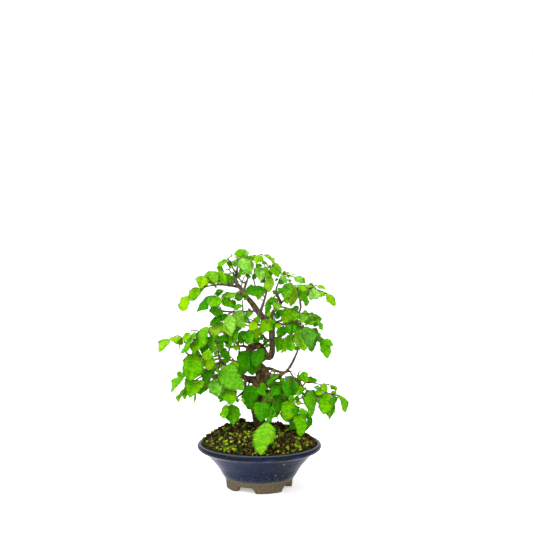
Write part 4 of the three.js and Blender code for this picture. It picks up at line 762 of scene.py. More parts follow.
        "fill": [(-59.4, 136.6, -48.9, 134.4, 6.1), (-48.9, 145.2, -53.2, 141.5, 6.1)],
        "tones": ("5364", "1300"), "sides": ("645845", "563244"),
    },
    "left_drop": {
        "twigs": [[(-27.6, 110.4, -9), (-31, 106, -15), (-34, 102.4, -18), (-41, 102.4, -20)]],
        "leaves": [(-33, 101.6, -32.4, 76.6, 18.8), (-41, 101.6, -43.2, 83.4, 8.2)],
        "young": [(-25, 107.4, -28.4, 104.6, 2.6)],
        "fill": [(-20.4, 110.1, -19.6, 103.6, 4.3)],
        "tones": ("462", "000"), "sides": ("2554", "4452"),
    },
    "centre_pair": {
        "twigs": [[(-12, 168.5, 7.4), (-9, 168.4, -6), (-5, 167.6, -12), (2.4, 169.6, -14)]],
        "leaves": [
            (-14, 168.8, -22.4, 137.2, 17.5), (3.6, 171.6, -5, 148.8, 15.5),
            (-8, 162, -8, 138, 13.5),
        ],
        "tones": ("202", "000"), "sides": ("425", "358"),
    },
    "stem_front": {
        "twigs": [
            [(-1, 126, 0), (-4.4, 124.8, -13), (-6.6, 125.4, -15)],
            [(-4.4, 124.8, -13), (-1, 127, -15)],
        ],
        "leaves": [
            (-8, 126, -12.6, 95, 17.5), (0.7, 127.2, 9.6, 120, 7.8), (-2.2, 121.8, 9, 112.5, 9.4),
        ],
        "tones": ("253", "000"), "sides": ("444", "544"),
    },
    "front_low": {
        "twigs": [
            [(13, 117.6, -5), (17, 112, -24), (18, 103, -36), (14.4, 94, -46), (10.4, 85, -54)],
        ],
        "leaves": [
            (8.2, 80.4, 2.2, 37.8, 29, -55, -71.5), (17.2, 100, 8, 73.6, 6.4, -46, -56),
            (19.6, 93, 15.4, 84, 3.4, -46, -50),
        ],
        "young": [(19.8, 89, 22.4, 82.6, 2, -44, -47)],
        "tones": ("6344", "1000"), "sides": ("4280", "4546"),
        "forms": {0: ((0.7, 1.3, 0.82), (0.95, 0.78, 0.72))},
    },
    "front_mid": {
        "twigs": [
            [(16, 117.5, -6), (19, 121, -14), (23, 124.4, -17)],
            [
                (19, 121, -14), (14.6, 117.6, -19), (11, 116.4, -21), (6.6, 110.6, -22),
                (4, 105.6, -22),
            ],
        ],
        "leaves": [
            (3.2, 104.6, 1.4, 79.6, 20), (10.6, 95.6, -5, 86, 8.4), (9.4, 116.4, 15, 93.4, 14),
            (25.6, 113.6, 18.4, 91.6, 14), (24.4, 124.8, 15, 112, 11.5),
        ],
        "tones": ("30411", "00200"), "sides": ("54454", "44444"),
    },
    "slant_base": {
        "twigs": [
            [(21.5, 134.2, -8), (21, 138, -13), (18.6, 140.4, -14), (17.8, 145.4, -14)],
            [(18.6, 140.4, -14), (21.8, 142.8, -14)],
        ],
        "leaves": [(22, 138.6, 10.4, 124.8, 4.6), (23.4, 137, 16, 132.6, 3.2)],
        "young": [(16.6, 141.6, 17.8, 146.6, 1.8)],
        "tones": ("346", "000"), "sides": ("444", "444"),
    },
    "low_right_in": {
        "twigs": [[(31.6, 127.5, -12), (36, 131.4, -17), (42, 131.4, -18)]],
        "leaves": [(36, 132, 34, 110.8, 15.5), (43.4, 131.4, 41.6, 112.6, 8.4)],
        "fill": [(31.3, 133, 24.6, 130.5, 4.9)],
        "tones": ("22", "00"), "sides": ("445", "447"),
    },
    "low_right_drop": {
        "twigs": [
            [
                (33.6, 109.4, -15), (36.6, 104, -18), (41, 101.5, -20), (46.5, 99.3, -21),
                (53, 95.2, -22), (50.8, 91, -25),
            ],
            [(53, 95.2, -22), (57, 94.4, -25)],
            [(41, 101.5, -20), (44.6, 97, -24)],
        ],
        "leaves": [
            (38.2, 106.8, 33, 79.4, 19), (51, 91, 50.2, 61.8, 16), (45.4, 95, 37, 70.2, 12),
            (57.4, 93.6, 60, 70.8, 8.4), (46, 99, 44, 88, 7),
        ],
        "fill": [(49, 93.6, 60.1, 92, 8.5)],
        "tones": ("66201", "00000"), "sides": ("544061", "449545"),
    },
    "low_right_thin": {
        "twigs": [
            [(54.4, 115, -16), (51.6, 110, -20), (47, 107.6, -21)],
            [(47, 107.6, -21), (50, 103.6, -22)],
        ],
        "leaves": [
            (49.4, 109, 41.8, 108.4, 6), (50.2, 110, 58, 105.8, 2), (44, 104.4, 52.4, 104.2, 3),
            (50.6, 103.2, 57.6, 101.4, 1.8),
        ],
        "fill": [(42.2, 104.8, 37.8, 113.6, 7.3), (45.3, 102.6, 52.6, 102.8, 4.9)],
        "tones": ("4434", "0000"), "sides": ("440054", "847941"),
    },
    "low_right_rise": {
        "twigs": [[(50.6, 122.8, -15.2), (51.6, 126, -19), (50.6, 132, -22), (49.6, 136.4, -22)]],
        "leaves": [(50.6, 124.6, 47, 112, 5.4), (54.8, 124.4, 50.4, 117, 4.8)],
        "young": [(55, 120.4, 58.6, 123, 3), (49.4, 137, 47.6, 132.6, 2.4)],
        "tones": ("5656", "0000"), "sides": ("5555", "4455"),
    },
    "low_right_star": {
        "twigs": [
            [
                (56.2, 128.4, -16), (60, 129.4, -17), (68, 128.4, -18), (76.4, 126.4, -19),
                (86, 126.6, -20),
            ],
            [(76.4, 126.4, -19), (78.6, 121, -20), (83.4, 117.8, -20)],
        ],
        "leaves": [
            (57, 129, 54.4, 143, 9.4), (57.6, 130, 71.8, 131.4, 7.8), (83, 117.6, 78.6, 128.8, 7.8),
            (75, 123.2, 67, 122.4, 3), (85, 127.2, 96.4, 118.8, 2.8), (78, 119.6, 69, 114.4, 6.8),
        ],
        "fill": [(87.1, 124.4, 94.5, 118.8, 4.3)],
        "tones": ("557576", "000000"), "sides": ("4153054", "4406599"),
    },
    "low_right_near": {
        "twigs": [[(62, 113.1, -16), (64, 116, -20), (63.6, 119, -21)]],
        "leaves": [(64, 118.8, 61.8, 85.2, 13.5)],
        "young": [(65, 120.2, 69.4, 115.8, 2.4)],
        "tones": ("55", "00"), "sides": ("10", "74"),
    },
    "low_right_tip": {
        "twigs": [[(77.2, 117.4, -16), (82, 116.8, -20), (88, 114.8, -22), (95, 115, -23)]],
        "leaves": [
            (84.6, 116, 79, 88.6, 17.5), (88.6, 106.6, 85, 82.2, 9.8), (92, 112.4, 89, 98, 6.4),
            (95, 115, 106.2, 91.2, 10), (91, 111.4, 94.6, 103.8, 3.6), (88, 117.6, 95.4, 116, 3.4),
        ],
        "fill": [(88.7, 113.3, 95.4, 112.8, 4.3)],
        "tones": ("644645", "000000"), "sides": ("4010784", "4942375"),
    },
}

# Sprays of the far side: the leaves' length and the seed of their draws.
FAR_SPRAYS = {
    "back_left_a": {
        "size": 31, "seed": 11,
        "twigs": [[(-42.4, 157.9, 46), (-52, 158, 52), (-64, 152, 57), (-72, 146, 58)]],
    },
    "back_left_b": {
        "size": 32, "seed": 12,
        "twigs": [[(-25, 153.8, 31), (-24, 146, 40), (-26, 134, 48), (-30, 124, 50)]],
    },
    "back_right_a": {
        "size": 31, "seed": 13,
        "twigs": [[(37.4, 143, 46), (44, 134, 52), (52, 124, 57), (62, 116, 58)]],
    },
    "back_right_b": {
        "size": 32, "seed": 14,
        "twigs": [[(16.4, 145.6, 27), (12, 137, 36), (10, 122, 43), (14, 110, 46)]],
    },
    "back_mid_a": {
        "size": 30, "seed": 15,
        "twigs": [[(-11.4, 198.9, 44), (-22, 202, 52), (-34, 201, 58), (-44, 196, 60)]],
    },
    "back_mid_c": {
        "size": 30, "seed": 17,
        "twigs": [[(42.4, 207, 34), (48, 206, 42), (54, 198, 50), (56, 188, 54)]],
    },
    "back_top_a": {
        "size": 28, "seed": 19,
        "twigs": [[(-22.6, 238.8, 30), (-22, 248, 38), (-18, 260, 42), (-10, 266, 42)]],
    },
    "back_top_c": {
        "size": 28, "seed": 21,
        "twigs": [[(30.6, 243.8, 18), (37, 243, 28), (44, 238, 36), (54, 236, 40)]],
    },
}


# Places and repeatable draws


def seen(marks):
    """Places of marks (x, z, depth): each lies on the line from the eye through (x, 0, z)."""
    marks = np.asarray(marks, float)
    reach = (marks[..., 2] - EYE[1]) / -EYE[1]
    x = EYE[0] + (marks[..., 0] - EYE[0]) * reach
    z = EYE[2] + (marks[..., 1] - EYE[2]) * reach
    return np.stack([x, marks[..., 2], z], -1)


def draws(seed):
    """Repeatable draws between 0 and 1."""
    mask = 0xFFFFFFFF
    state = seed & mask

    def draw():
        nonlocal state
        state = (state + 0x6D2B79F5) & mask
        t = state
        t = ((t ^ (t >> 15)) * (t | 1)) & mask
        t ^= (t + (((t ^ (t >> 7)) * (t | 61)) & mask)) & mask
        return ((t ^ (t >> 14)) & mask) / 4294967296

    return draw


def unit(v):
    """A vector's direction, one long."""
    return v / np.linalg.norm(v)


def to_metres(points):
    """Millimetres from the foot of the bowl's axis as metres in the frame."""
    return points * MM + AXIS


# Where leaves grow


def breadth(u):
    """Half the blade's breadth at u from base to tip, as a share of the widest."""
    return np.power(u, 0.55) * np.power(1 - u, 0.95) / 0.3731


def blade_point(leaf, u, v):
    """Chord from base to tip, plus sideways v times half the breadth, plus the lift along the
    blade's upper side: a length-wise arch, the fold at the rib and a slow wave along the edges."""
    half = 0.5 * leaf["width"] * breadth(u) * np.abs(v)
    turn = 9.4 * u + np.where(v > 0, 1.7, 0) + leaf["phase"]
    wave = leaf["wave"] * half * np.abs(v) * np.sin(turn)
    lift = leaf["arch"] * leaf["length"] * 4 * u * (1 - u) + half * math.sin(leaf["fold"]) + wave
    aside = np.sign(v) * half * math.cos(leaf["fold"])
    return (
        (1 - u)[..., None] * leaf["base"]
        + u[..., None] * leaf["tip"]
        + aside[..., None] * leaf["side"]
        + lift[..., None] * leaf["up"]
    )


def curl(chance):
    """A leaf's arch, fold and wave from three draws."""
    return {
        "arch": 0.05 + 0.08 * chance[0],
        "fold": -0.25 + 0.65 * chance[1],
        "wave": 0.16,
        "phase": 6.3 * chance[2],
    }


def turn_leaf(base, tip, seen_width, chance):
    """Rolls a leaf about its chord until it shows the given width, with its upper side outwards."""
    length = np.linalg.norm(tip - base)
    along = (tip - base) / length
    view = unit(EYE - base)
    front = unit(view - along * view.dot(along))
    aside = np.cross(along, front)
    width = max(seen_width, length / LEAF_SLIM)
    roll = math.acos(min(1, seen_width / width))
    outward = -1 if base[0] < MID_X else 1
    sense = 1 if aside[2] + 0.6 * outward * aside[0] >= 0 else -1
    up = front * math.cos(roll) + aside * sense * math.sin(roll)
    place = {"base": base, "tip": tip, "length": length, "width": width}
    return {**place, "up": up, "side": np.cross(along, up), **curl(chance)}


def face_leaf(base, tip, towards, chance):
    """Turns a leaf's upper side towards a direction."""
    length = np.linalg.norm(tip - base)
    along = (tip - base) / length
    up = unit(towards - along * towards.dot(along))
    place = {"base": base, "tip": tip, "length": length, "width": length / 1.6}
    return {**place, "up": up, "side": np.cross(along, up), **curl(chance)}


def points_of_line(places, gap):
    """Points about a gap apart along a line, half a gap clear of its corners."""
    found = []
    for a, b in zip(places[:-1], places[1:]):
        count = max(1, math.floor(np.linalg.norm(b - a) / gap + 0.5))
        share = (np.arange(count)[:, None] + 0.5) / count
        found.append(a + (b - a) * share)
    return np.concatenate(found)


def nearest(point, points):
    """The one of the points that is nearest."""
    return points[np.argmin(((points - point) ** 2).sum(1))]


def spot_of(owner, points, radius, stalk=()):
    """What a leaf, twig or limb fills: its points, the room round them and a ball round them."""
    stalk = np.reshape(stalk, (-1, 3))
    every = np.concatenate([points, stalk])
    middle = every.mean(0)
    reach = np.linalg.norm(every - middle, axis=1).max()
    spot = {"owner": owner, "points": points, "stalk": stalk, "radius": radius}
    return {**spot, "middle": middle, "reach": reach}


def missing_between(here, there, need):
    """How much less than the needed gap lies between two groups of points, 0 if enough."""
    if not len(here) or not len(there):
        return 0
    gap = np.linalg.norm(here[:, None] - there[None], axis=2).min()
    return min(0, gap - need)


def missing_room(spot, placed):
    """How much less than enough room a leaf has beside what is already placed, 0 if enough."""
    middles = np.array([other["middle"] for other in placed])
    reaches = np.array([other["reach"] + other["radius"] for other in placed])
    gaps = np.linalg.norm(middles - spot["middle"], axis=1) - reaches - spot["reach"] - ROOM_OTHERS
    spare = 0
    for index in np.nonzero(gaps <= 0)[0]:
        other = placed[index]
        own = other["owner"] == spot["owner"]
        woody = other["radius"] > 0
        need = ((ROOM_TWIG if woody else ROOM_OWN) if own else ROOM_OTHERS) + other["radius"]
        near = ROOM_STALK if own else need
        spare = min(
            spare,
            missing_between(spot["points"], other["points"], need),
            missing_between(spot["points"], other["stalk"], near),
            0 if own and woody else missing_between(spot["stalk"], other["points"], near),
            0 if own else missing_between(spot["stalk"], other["stalk"], need),
        )
    return spare


def cells_of(leaf):
    """The cells of the front view that a leaf covers."""
    u, v = np.meshgrid(np.arange(13) / 12, np.arange(-4, 5) / 4, indexing="ij")
    p = blade_point(leaf, u, v).reshape(-1, 3)
    reach = (p[:, 1] - EYE[1]) / -EYE[1]
    x = EYE[0] + (p[:, 0] - EYE[0]) / reach
    z = EYE[2] + (p[:, 2] - EYE[2]) / reach
    return list(zip(np.floor(x / COVER + 0.5).astype(int), np.floor(z / COVER + 0.5).astype(int)))


def settle(spray, tries, placed, covered=None):
    """Keeps the first try with room, or the one that lacks least; far leaves also hide best."""
    best = None
    for leaf in tries:
        leaf["root"] = nearest(leaf["base"], spray["free"] if len(spray["free"]) else spray["dots"])
        share = np.array([0.25, 0.4, 0.55, 0.7, 0.85])[:, None]
        stalk = leaf["root"] + (leaf["base"] - leaf["root"]) * share
        u, v = np.meshgrid(np.arange(10) / 9, [-1, -0.6, -0.2, 0.2, 0.6, 1], indexing="ij")
        spot = spot_of(spray["name"], blade_point(leaf, u, v).reshape(-1, 3), 0, stalk)
        shown = 0 if covered is None else sum(cell not in covered for cell in cells_of(leaf))
        score = CELLS_FOR_ROOM * missing_room(spot, placed) - shown
        if best is None or score > best[0]:
            best = (score, leaf, spot)
        if score == 0:
            break
    _, leaf, spot = best
    placed.append(spot)
    spray["free"] = spray["free"][(spray["free"] != leaf["root"]).any(1)]
    spray["leaves"].append(leaf)
    return leaf


def grow_marked_leaf(spray, mark, chance, placed):
    """A near leaf keeps its marked place in the front view and moves in depth to find room."""
    bx, bz, tx, tz, wide, *depths = mark
    dots = spray["dots"]
    start = depths[0] if depths else nearest(seen((bx, bz, dots[0][1])), dots)[1] - 2
    flat = math.hypot(tx - bx, tz - bz)
    length = max(flat * 1.04, wide * LEAF_SHORT)
    lean = depths[0] - depths[1] if depths else math.sqrt(length * length - flat * flat)
    tries = [
        turn_leaf(seen((bx, bz, start + step)), seen((tx, tz, start + step - lean)), wide, chance)
        for step in (DEPTH_STEPS if not depths else (0,))
    ]
    return settle(spray, tries, placed)


def grow_marked_leaves(spray, kind, draw, placed):
    """The spray's leaves of one kind (leaves, young or fill), each with three draws of its own."""
    marks = spray["entry"].get(kind, [])
    return [grow_marked_leaf(spray, mark, [draw(), draw(), draw()], placed) for mark in marks]


def grow_far_spray(spray, placed, covered):
    """Leaves of a far spray: of several tries each takes the one that shows least in front."""
    draw = draws(spray["entry"]["seed"])
    last = FAR_LEAVES - 1
    for k in range(FAR_LEAVES):
        at = spray["dots"][math.floor((len(spray["dots"]) - 1) * k / last + 0.5)]
        outward = unit(np.array([at[0] - MID_X, at[1], 0]))
        aside = np.cross(outward, UP)
        hand = 0 if k == last else (1 if k % 2 else -1)
        tries = []
        for _ in range(FAR_TRIES):
            forth = 0.35 + 0.6 * draw()
            across = hand * (0.2 + 0.8 * draw())
            rise = 0.3 - 1.3 * draw()
            to = unit(outward * forth + aside * across + UP * rise)
            base = at + to * (3 + 3 * draw())
            length = spray["entry"]["size"] * (0.8 + 0.3 * draw())
            chance = [draw(), draw(), draw()]
            tries.append(face_leaf(base, base + to * length, outward * 0.75 + UP * 0.65, chance))
        settle(spray, tries, placed, covered)


def grow_sprays():
    """Every spray with its twigs and settled leaves: first the leaves that the solids have, then
    the youngest ones and those that fill spaces."""
    placed = []
    for line in LIMBS.values():
        places = seen([mark[:3] for mark in line])
        for i in range(len(line) - 1):
            placed.append(spot_of("wood", points_of_line(places[i : i + 2], 2), line[i][3]))
    wood = np.concatenate([spot["points"] for spot in placed])
    clear = np.repeat([spot["radius"] for spot in placed], [len(spot["points"]) for spot in placed])
    sprays = []
    for name, entry in {**SPRAYS, **FAR_SPRAYS}.items():
        twigs = [seen(twig) for twig in entry["twigs"]]
        for i in range(1, len(twigs)):
            earlier = np.concatenate([points_of_line(twig, 3) for twig in twigs[:i]])
            twigs[i][0] = nearest(twigs[i][0], earlier)
        dots = np.concatenate([points_of_line(twig, 1.8) for twig in twigs])
        gaps = np.linalg.norm(dots[:, None] - wood[None], axis=2)
        dots = dots[(gaps > clear + STALK_FREE).all(1)]
        spray = {"name": name, "entry": entry, "twigs": twigs, "leaves": []}
        sprays.append({**spray, "dots": dots, "free": dots})
    for spray in sprays:
        for twig in spray["twigs"]:
            placed.append(spot_of(spray["name"], points_of_line(twig, 2.5), TWIG_ROUND))
    covered = set()
    for turn, spray in enumerate(sprays):
        if spray["name"] in FAR_SPRAYS:
            grow_far_spray(spray, placed, covered)
        for leaf in grow_marked_leaves(spray, "leaves", draws(MARKED_SEED + turn), placed):
            covered.update(cells_of(leaf))
    for kind, seed in (("young", YOUNG_SEED), ("fill", FILL_SEED)):
        for turn, spray in enumerate(sprays):
            grow_marked_leaves(spray, kind, draws(seed + turn), placed)
    return sprays


# Surfaces


class Part:
    """A closed surface: points in millimetres, faces as arrays of corners, a material's number,
    a flat coordinate for each point and named marks for each face."""

    def __init__(self, points, faces, material=0, flat=None, **marks):
        self.points = points
        self.faces = faces
        self.material = material
        self.flat = np.zeros((len(points), 2)) if flat is None else flat
        self.marks = marks

    def count(self):
        return sum(len(faces) for faces in self.faces)


def make_piece(name, parts, materials, nodes=()):
    """Joins parts into one mesh at the origin that rides on the whole and stands for its nodes."""
    starts = np.cumsum([0] + [len(part.points) for part in parts])
    corners = []
    sizes = []
    numbers = []
    for part, start in zip(parts, starts):
        for faces in part.faces:
            corners.append((faces + start).ravel())
            sizes.append(np.full(len(faces), faces.shape[1]))
        numbers.append(np.full(part.count(), part.material))
    corners = np.concatenate(corners)
    sizes = np.concatenate(sizes)
    mesh = bpy.data.meshes.new(name)
    mesh.vertices.add(starts[-1])
    places = to_metres(np.concatenate([part.points for part in parts]))
    mesh.vertices.foreach_set("co", places.ravel())
    mesh.loops.add(len(corners))
    mesh.loops.foreach_set("vertex_index", corners.astype(np.int32))
    mesh.polygons.add(len(sizes))
    mesh.polygons.foreach_set("loop_start", (np.cumsum(sizes) - sizes).astype(np.int32))
    mesh.polygons.foreach_set("material_index", np.concatenate(numbers).astype(np.int32))
    flat = np.concatenate([part.flat for part in parts])[corners].astype(np.float32)
    mesh.uv_layers.new(name="flat").uv.foreach_set("vector", flat.ravel())
    for mark in sorted({key for part in parts for key in part.marks}):
        values = [np.broadcast_to(part.marks.get(mark, 0.0), part.count()) for part in parts]
        made = mesh.attributes.new(mark, "FLOAT", "FACE")
        made.data.foreach_set("value", np.concatenate(values).astype(np.float32))
    mesh.update(calc_edges=True)
    mesh.validate()
    mesh.shade_smooth()
    for material in materials:
        mesh.materials.append(material)
    piece = bpy.data.objects.new(name, mesh)
    bpy.context.scene.collection.objects.link(piece)
    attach(piece, "root")
    if nodes:
        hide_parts(*nodes)


def grid_faces(rows, columns, wrap_rows=False, wrap_columns=False):
    """Four-cornered faces of a grid whose points run row by row."""
    r = np.arange(rows if wrap_rows else rows - 1)
    c = np.arange(columns if wrap_columns else columns - 1)
    r, c = np.meshgrid(r, c, indexing="ij")
    below = (r + 1) % rows
    beside = (c + 1) % columns
    corners = [r * columns + c, r * columns + beside, below * columns + beside, below * columns + c]
    return np.stack([corner.ravel() for corner in corners], 1)


def fan_faces(centre, ring, turned=False):
    """Three-cornered faces from a point to a closed ring."""
    after = np.roll(ring, -1)
    pair = [after, ring] if turned else [ring, after]
    return np.stack([np.full(len(ring), centre), *pair], 1)


def ringed(first, rings, last, material=0, flat=None, turned=False, **marks):
    """A closed part: a point, rings of points, and a point."""
    rows, sides = rings.shape[:2]
    points = np.concatenate([[first], rings.reshape(-1, 3), [last]])
    between = grid_faces(rows, sides, wrap_columns=True) + 1
    ring = np.arange(sides) + 1
    faces = [
        between[:, ::-1] if turned else between,
        fan_faces(0, ring, not turned),
        fan_faces(rows * sides + 1, ring + (rows - 1) * sides, turned),
    ]
    return Part(points, faces, material, flat, **marks)


def turn_line(r, z, sides):
    """Rings of points: a line of radii and heights that turns about the bowl's axis."""
    a = np.arange(sides) * 2 * math.pi / sides
    x, y = r[:, None] * np.cos(a), r[:, None] * np.sin(a)
    return np.stack([x, y, z[:, None] + np.zeros(sides)], -1)


def smooth_line(values, step):
    """A smooth line through marks (first three columns are places): between two marks a cubic
    whose slopes are half the way between their neighbours, sampled about a step apart."""
    values = np.asarray(values, float)
    ends = [2 * values[0] - values[1], *values, 2 * values[-1] - values[-2]]
    found = []
    for a, b, c, d in zip(ends[:-3], ends[1:-2], ends[2:-1], ends[3:]):
        count = max(1, math.ceil(np.linalg.norm((c - b)[:3]) / step))
        t = (np.arange(count) / count)[:, None]
        bend = 2 * a - 5 * b + 4 * c - d + t * (3 * (b - c) + d - a)
        found.append(b + 0.5 * t * (c - a + t * bend))
    return np.concatenate([*found, [values[-1]]])


def across_line(places):
    """For each place of a line the direction along it and one across it that doesn't twist."""
    along = np.gradient(places, axis=0)
    along /= np.linalg.norm(along, axis=1)[:, None]
    across = np.empty_like(along)
    last = np.array([1.0, 0, 0]) if abs(along[0][0]) < 0.8 else np.array([0, 1.0, 0])
    for i, direction in enumerate(along):
        last = unit(last - direction * last.dot(direction))
        across[i] = last
    return along, across


def tube(places, radii, sides, material=0, relief=None, span=None, **marks):
    """A closed tube: place + radius times (1 + relief(s, a)) times the direction at angle a round
    the line, s being the length along it. Its ends are rounded off to a point. With a span its
    flat coordinates run round it and from the span's first to its last number along it."""
    steps = np.linalg.norm(np.diff(places, axis=0), axis=1)
    s = np.concatenate([[0], np.cumsum(steps)])
    along, across = across_line(places)
    over = np.cross(along, across)
    a = np.arange(sides) * 2 * math.pi / sides
    swell = 0 if relief is None else relief(s[:, None], a[None])
    r = radii[:, None] * (1 + swell) + np.zeros((1, sides))
    ring = np.cos(a)[None, :, None] * across[:, None] + np.sin(a)[None, :, None] * over[:, None]
    rings = places[:, None] + r[..., None] * ring
    rings = np.concatenate([
        [places[0] + (rings[0] - places[0]) * 0.7 - along[0] * radii[0] * 0.2],
        rings,
        [places[-1] + (rings[-1] - places[-1]) * 0.7 + along[-1] * radii[-1] * 0.4],
    ])
    flat = None
    if span:
        t = np.concatenate([span[:1], np.linspace(*span, len(rings)).repeat(sides), span[1:]])
        flat = np.stack([np.array([0, *np.tile(np.arange(sides) / sides, len(rings)), 0]), t], 1)
    first = places[0] - along[0] * radii[0] * 0.3
    last = places[-1] + along[-1] * radii[-1] * 0.6
    return ringed(first, rings, last, material, flat, **marks)


# Leaves and twigs


def tooth_count(leaf):
    """Side veins of a leaf, each with a large tooth at its end."""
    return int(np.clip(round(5.5 + leaf["length"] / 5), 6, 12))


def blade(leaf, tone, pale):
    """Blade at (s, v): rows of the same s run along the side veins, so the place u along the chord
    solves u - VEIN_LEAN |v| u (1 - u) = s. Between veins the blade swells up, and its edge goes out
    to a large tooth at each vein's end and a small one half-way, each tooth by its own share. Half
    the breadth goes with u to a power times 1 - u to a power, times slow waves. The powers and a
    factor on it are other ones on each side, drawn or given with the leaf. The margins bend up or
    down with the square of v. The upper and the lower side meet along the edge."""
    settings = bpy.context.scene.bonsai_leaves
    count = tooth_count(leaf)
    cut = FINE_CUT if leaf["length"] > PLAIN_LENGTH else PLAIN_CUT
    gap, out, v = (np.array(values) for values in cut)
    phase = (np.arange(count)[:, None] + gap).ravel()[1:]
    edge = np.tile(out, count)[1:]
    a = VEIN_LEAN / 4 * np.abs(v)[None] + 1e-9
    s = phase[:, None] / count
    u = (np.sqrt((1 - 4 * a) ** 2 + 16 * a * s) - 1 + 4 * a) / (8 * a)
    own = leaf["phase"] * 7.3 + 2.1 * np.sign(v)[None]
    share = 1 + 0.9 * np.sin(2.4 * np.floor(2 * phase)[:, None] + own)
    margin = np.abs(v)[None] == 1
    tooth = settings.tooth * margin * edge[:, None] * share
    tooth = tooth * np.clip(u * 7, 0, 1) * np.clip((1 - u) * 4, 0, 1)
    u = np.clip(u + 0.3 * tooth, 0, 1)
    uneven = sum((height * np.sin(turns * u + k * own) for height, turns, k in EDGE_WAVES), 1)
    rise = 0.64 + 0.17 * np.sin(1.7 * own)
    fall = 0.86 + 0.26 * np.sin(2.9 * own + 1)
    right = (v > 0).astype(int)
    wide = leaf["sides"][right]
    if "form" in leaf:
        rise, fall, own_wide = np.array(leaf["form"])[right].T[:, None]
        wide = wide * own_wide
    peak = (rise / (rise + fall)) ** rise * (fall / (rise + fall)) ** fall
    full = 1.19 * wide * uneven * np.power(u, rise) * np.power(1 - u, fall) / peak
    top = blade_point(leaf, u, v[None] * (full + tooth) / np.maximum(breadth(u), 1e-6))
    half = 0.5 * leaf["width"] * full
    middle = np.clip(1.9 * np.abs(v) * (1.15 - np.abs(v)), 0, 1)[None]
    swell = np.sin(np.pi * (phase % 1))[:, None] * middle
    groove = np.exp(-((v / 0.12) ** 2))
    cup = 0.32 * np.sin(3.1 * own + 3 * u) * np.abs(v)[None] ** 2
    lift = half * (settings.pleat * swell - 0.05 * groove[None] + cup)
    top = top + lift[..., None] * leaf["up"]
    thick = 0.24 - 0.14 * np.abs(v) + 0.3 * groove * math.sqrt(leaf["length"] / 30)
    under = top[:, -2:0:-1] - thick[-2:0:-1, None] * leaf["up"]
    rings = np.concatenate([top, under], 1)
    rows, columns = rings.shape[:2]
    sides = np.concatenate([v, v[-2:0:-1]])
    flat = np.stack(np.broadcast_arrays(phase[:, None], sides[None]), -1).reshape(-1, 2)
    flat = np.concatenate([[[0, 0]], flat, [[count, 0]]])
    # One half of the blade is painted lighter and the other darker: painted light and shade across
    # the fold at the rib.
    painted_half_light = np.sign(sides + np.roll(sides, -1)) * 0.07 * math.sin(5 * leaf["phase"] + 1)
    tone = tone + np.tile(painted_half_light, rows + 1)
    below = np.tile(np.arange(columns) >= len(v) - 1, rows + 1).astype(float)
    marks = {"tone": tone, "under": below, "pale": pale}
    return ringed(leaf["base"], rings, leaf["tip"], BLADE, flat, **marks)


def shape_marked(sprays):
    """Gives each leaf its breadth on both sides, and a few of them an outline of their own."""
    for spray in sprays:
        digits = spray["entry"].get("sides", ("5" * 99, "5" * 99))
        for leaf, *pair in zip(spray["leaves"], *digits):
            leaf["sides"] = SIDE_LEAST + SIDE_STEP * np.array(pair, float)
        for number, form in spray["entry"].get("forms", {}).items():
            spray["leaves"][number]["form"] = form


def stalk(leaf):
    """A stalk from the twig to the blade: a bow that leaves the twig and meets the rib."""
    root, base = leaf["root"], leaf["base"]
    way = base - root
    length = np.linalg.norm(way)
    along = (leaf["tip"] - base) / leaf["length"]
    t = np.linspace(0, 1, 6)[:, None]
    bend = root + way * 0.6 - along * 0.12 * length + UP * 0.06 * length
    places = (1 - t) ** 2 * root + 2 * t * (1 - t) * bend + t * t * (base + along * 0.6)
    radii = np.linspace(0.5, 0.36, 6) * (0.75 + 0.25 * min(1, leaf["length"] / 20))
    return tube(places, radii, 5, SHOOT, span=(0.0, 1.0))


def bud(leaf):
    """A pointed bud in the angle of a stalk: a short tube that swells and closes."""
    way = leaf["base"] - leaf["root"]
    to = unit(way + UP * 0.3 * np.linalg.norm(way))
    start = leaf["root"] + to * 0.2
    places = start + to * np.array([0, 0.5, 1.1, 1.7, 2.1])[:, None]
    return tube(places, np.array([0.3, 0.52, 0.55, 0.36, 0.12]), 6, BUD)


def twig_tubes(spray, wood):
    """A spray's twigs: smooth lines of a slowly shrinking round, swollen where each leaf stands.
    The first one starts on the wood if that is near."""
    made = []
    for k, marks in enumerate(spray["twigs"]):
        start = nearest(marks[0], wood)
        if k == 0 and np.linalg.norm(start - marks[0]) < 9:
            marks = np.concatenate([[start], marks])
        line = smooth_line(marks, 1.1)
        first, last = (0.86, 0.54) if k == 0 else (0.66, 0.48)
        radii = np.linspace(first, last, len(line))
        for leaf in spray["leaves"]:
            gap = np.linalg.norm(line - leaf["root"], axis=1)
            radii = radii * (1 + 0.3 * np.exp(-((gap / 1.2) ** 2)))
        made.append(tube(line, radii, 7, SHOOT, span=(-0.6, 0.35)))
    return made


def tones_of(turn, spray):
    """Tone from deep to bright, each leaf's own green with painted shade and light, and share of
    pale sheen, a painted reflection, for each leaf of a spray.
    """
    draw = draws(TONE_SEED + turn)
    if "tones" not in spray["entry"]:
        return [(0.2 + 0.6 * draw(), 0.15 * draw() ** 2) for _ in spray["leaves"]]
    pairs = zip(*spray["entry"]["tones"])
    marked = [((int(tone) + draw() - 0.5) / 9, int(pale) / 10) for tone, pale in pairs]
    return marked + [(0.35 + 0.4 * draw(), 0) for _ in spray["leaves"][len(marked) :]]


def spray_parts(spray, wood, tones):
    """All parts of a spray: its twigs, then each blade with its stalk and bud."""
    parts = twig_tubes(spray, wood)
    for leaf, (tone, pale) in zip(spray["leaves"], tones):
        parts.append(blade(leaf, tone, pale))
        if leaf["length"] > STALKED_LENGTH:
            parts.append(stalk(leaf))
        if leaf["length"] > BUDDED_LENGTH:
            parts.append(bud(leaf))
    return parts


# Wood


def lumps(*waves):
    """Relief of a limb: a sum of waves height * sin(turns a + s / length + shift)."""

    def relief(s, a):
        return sum(h * np.sin(turns * a + s / length + shift) for h, turns, length, shift in waves)

    return relief


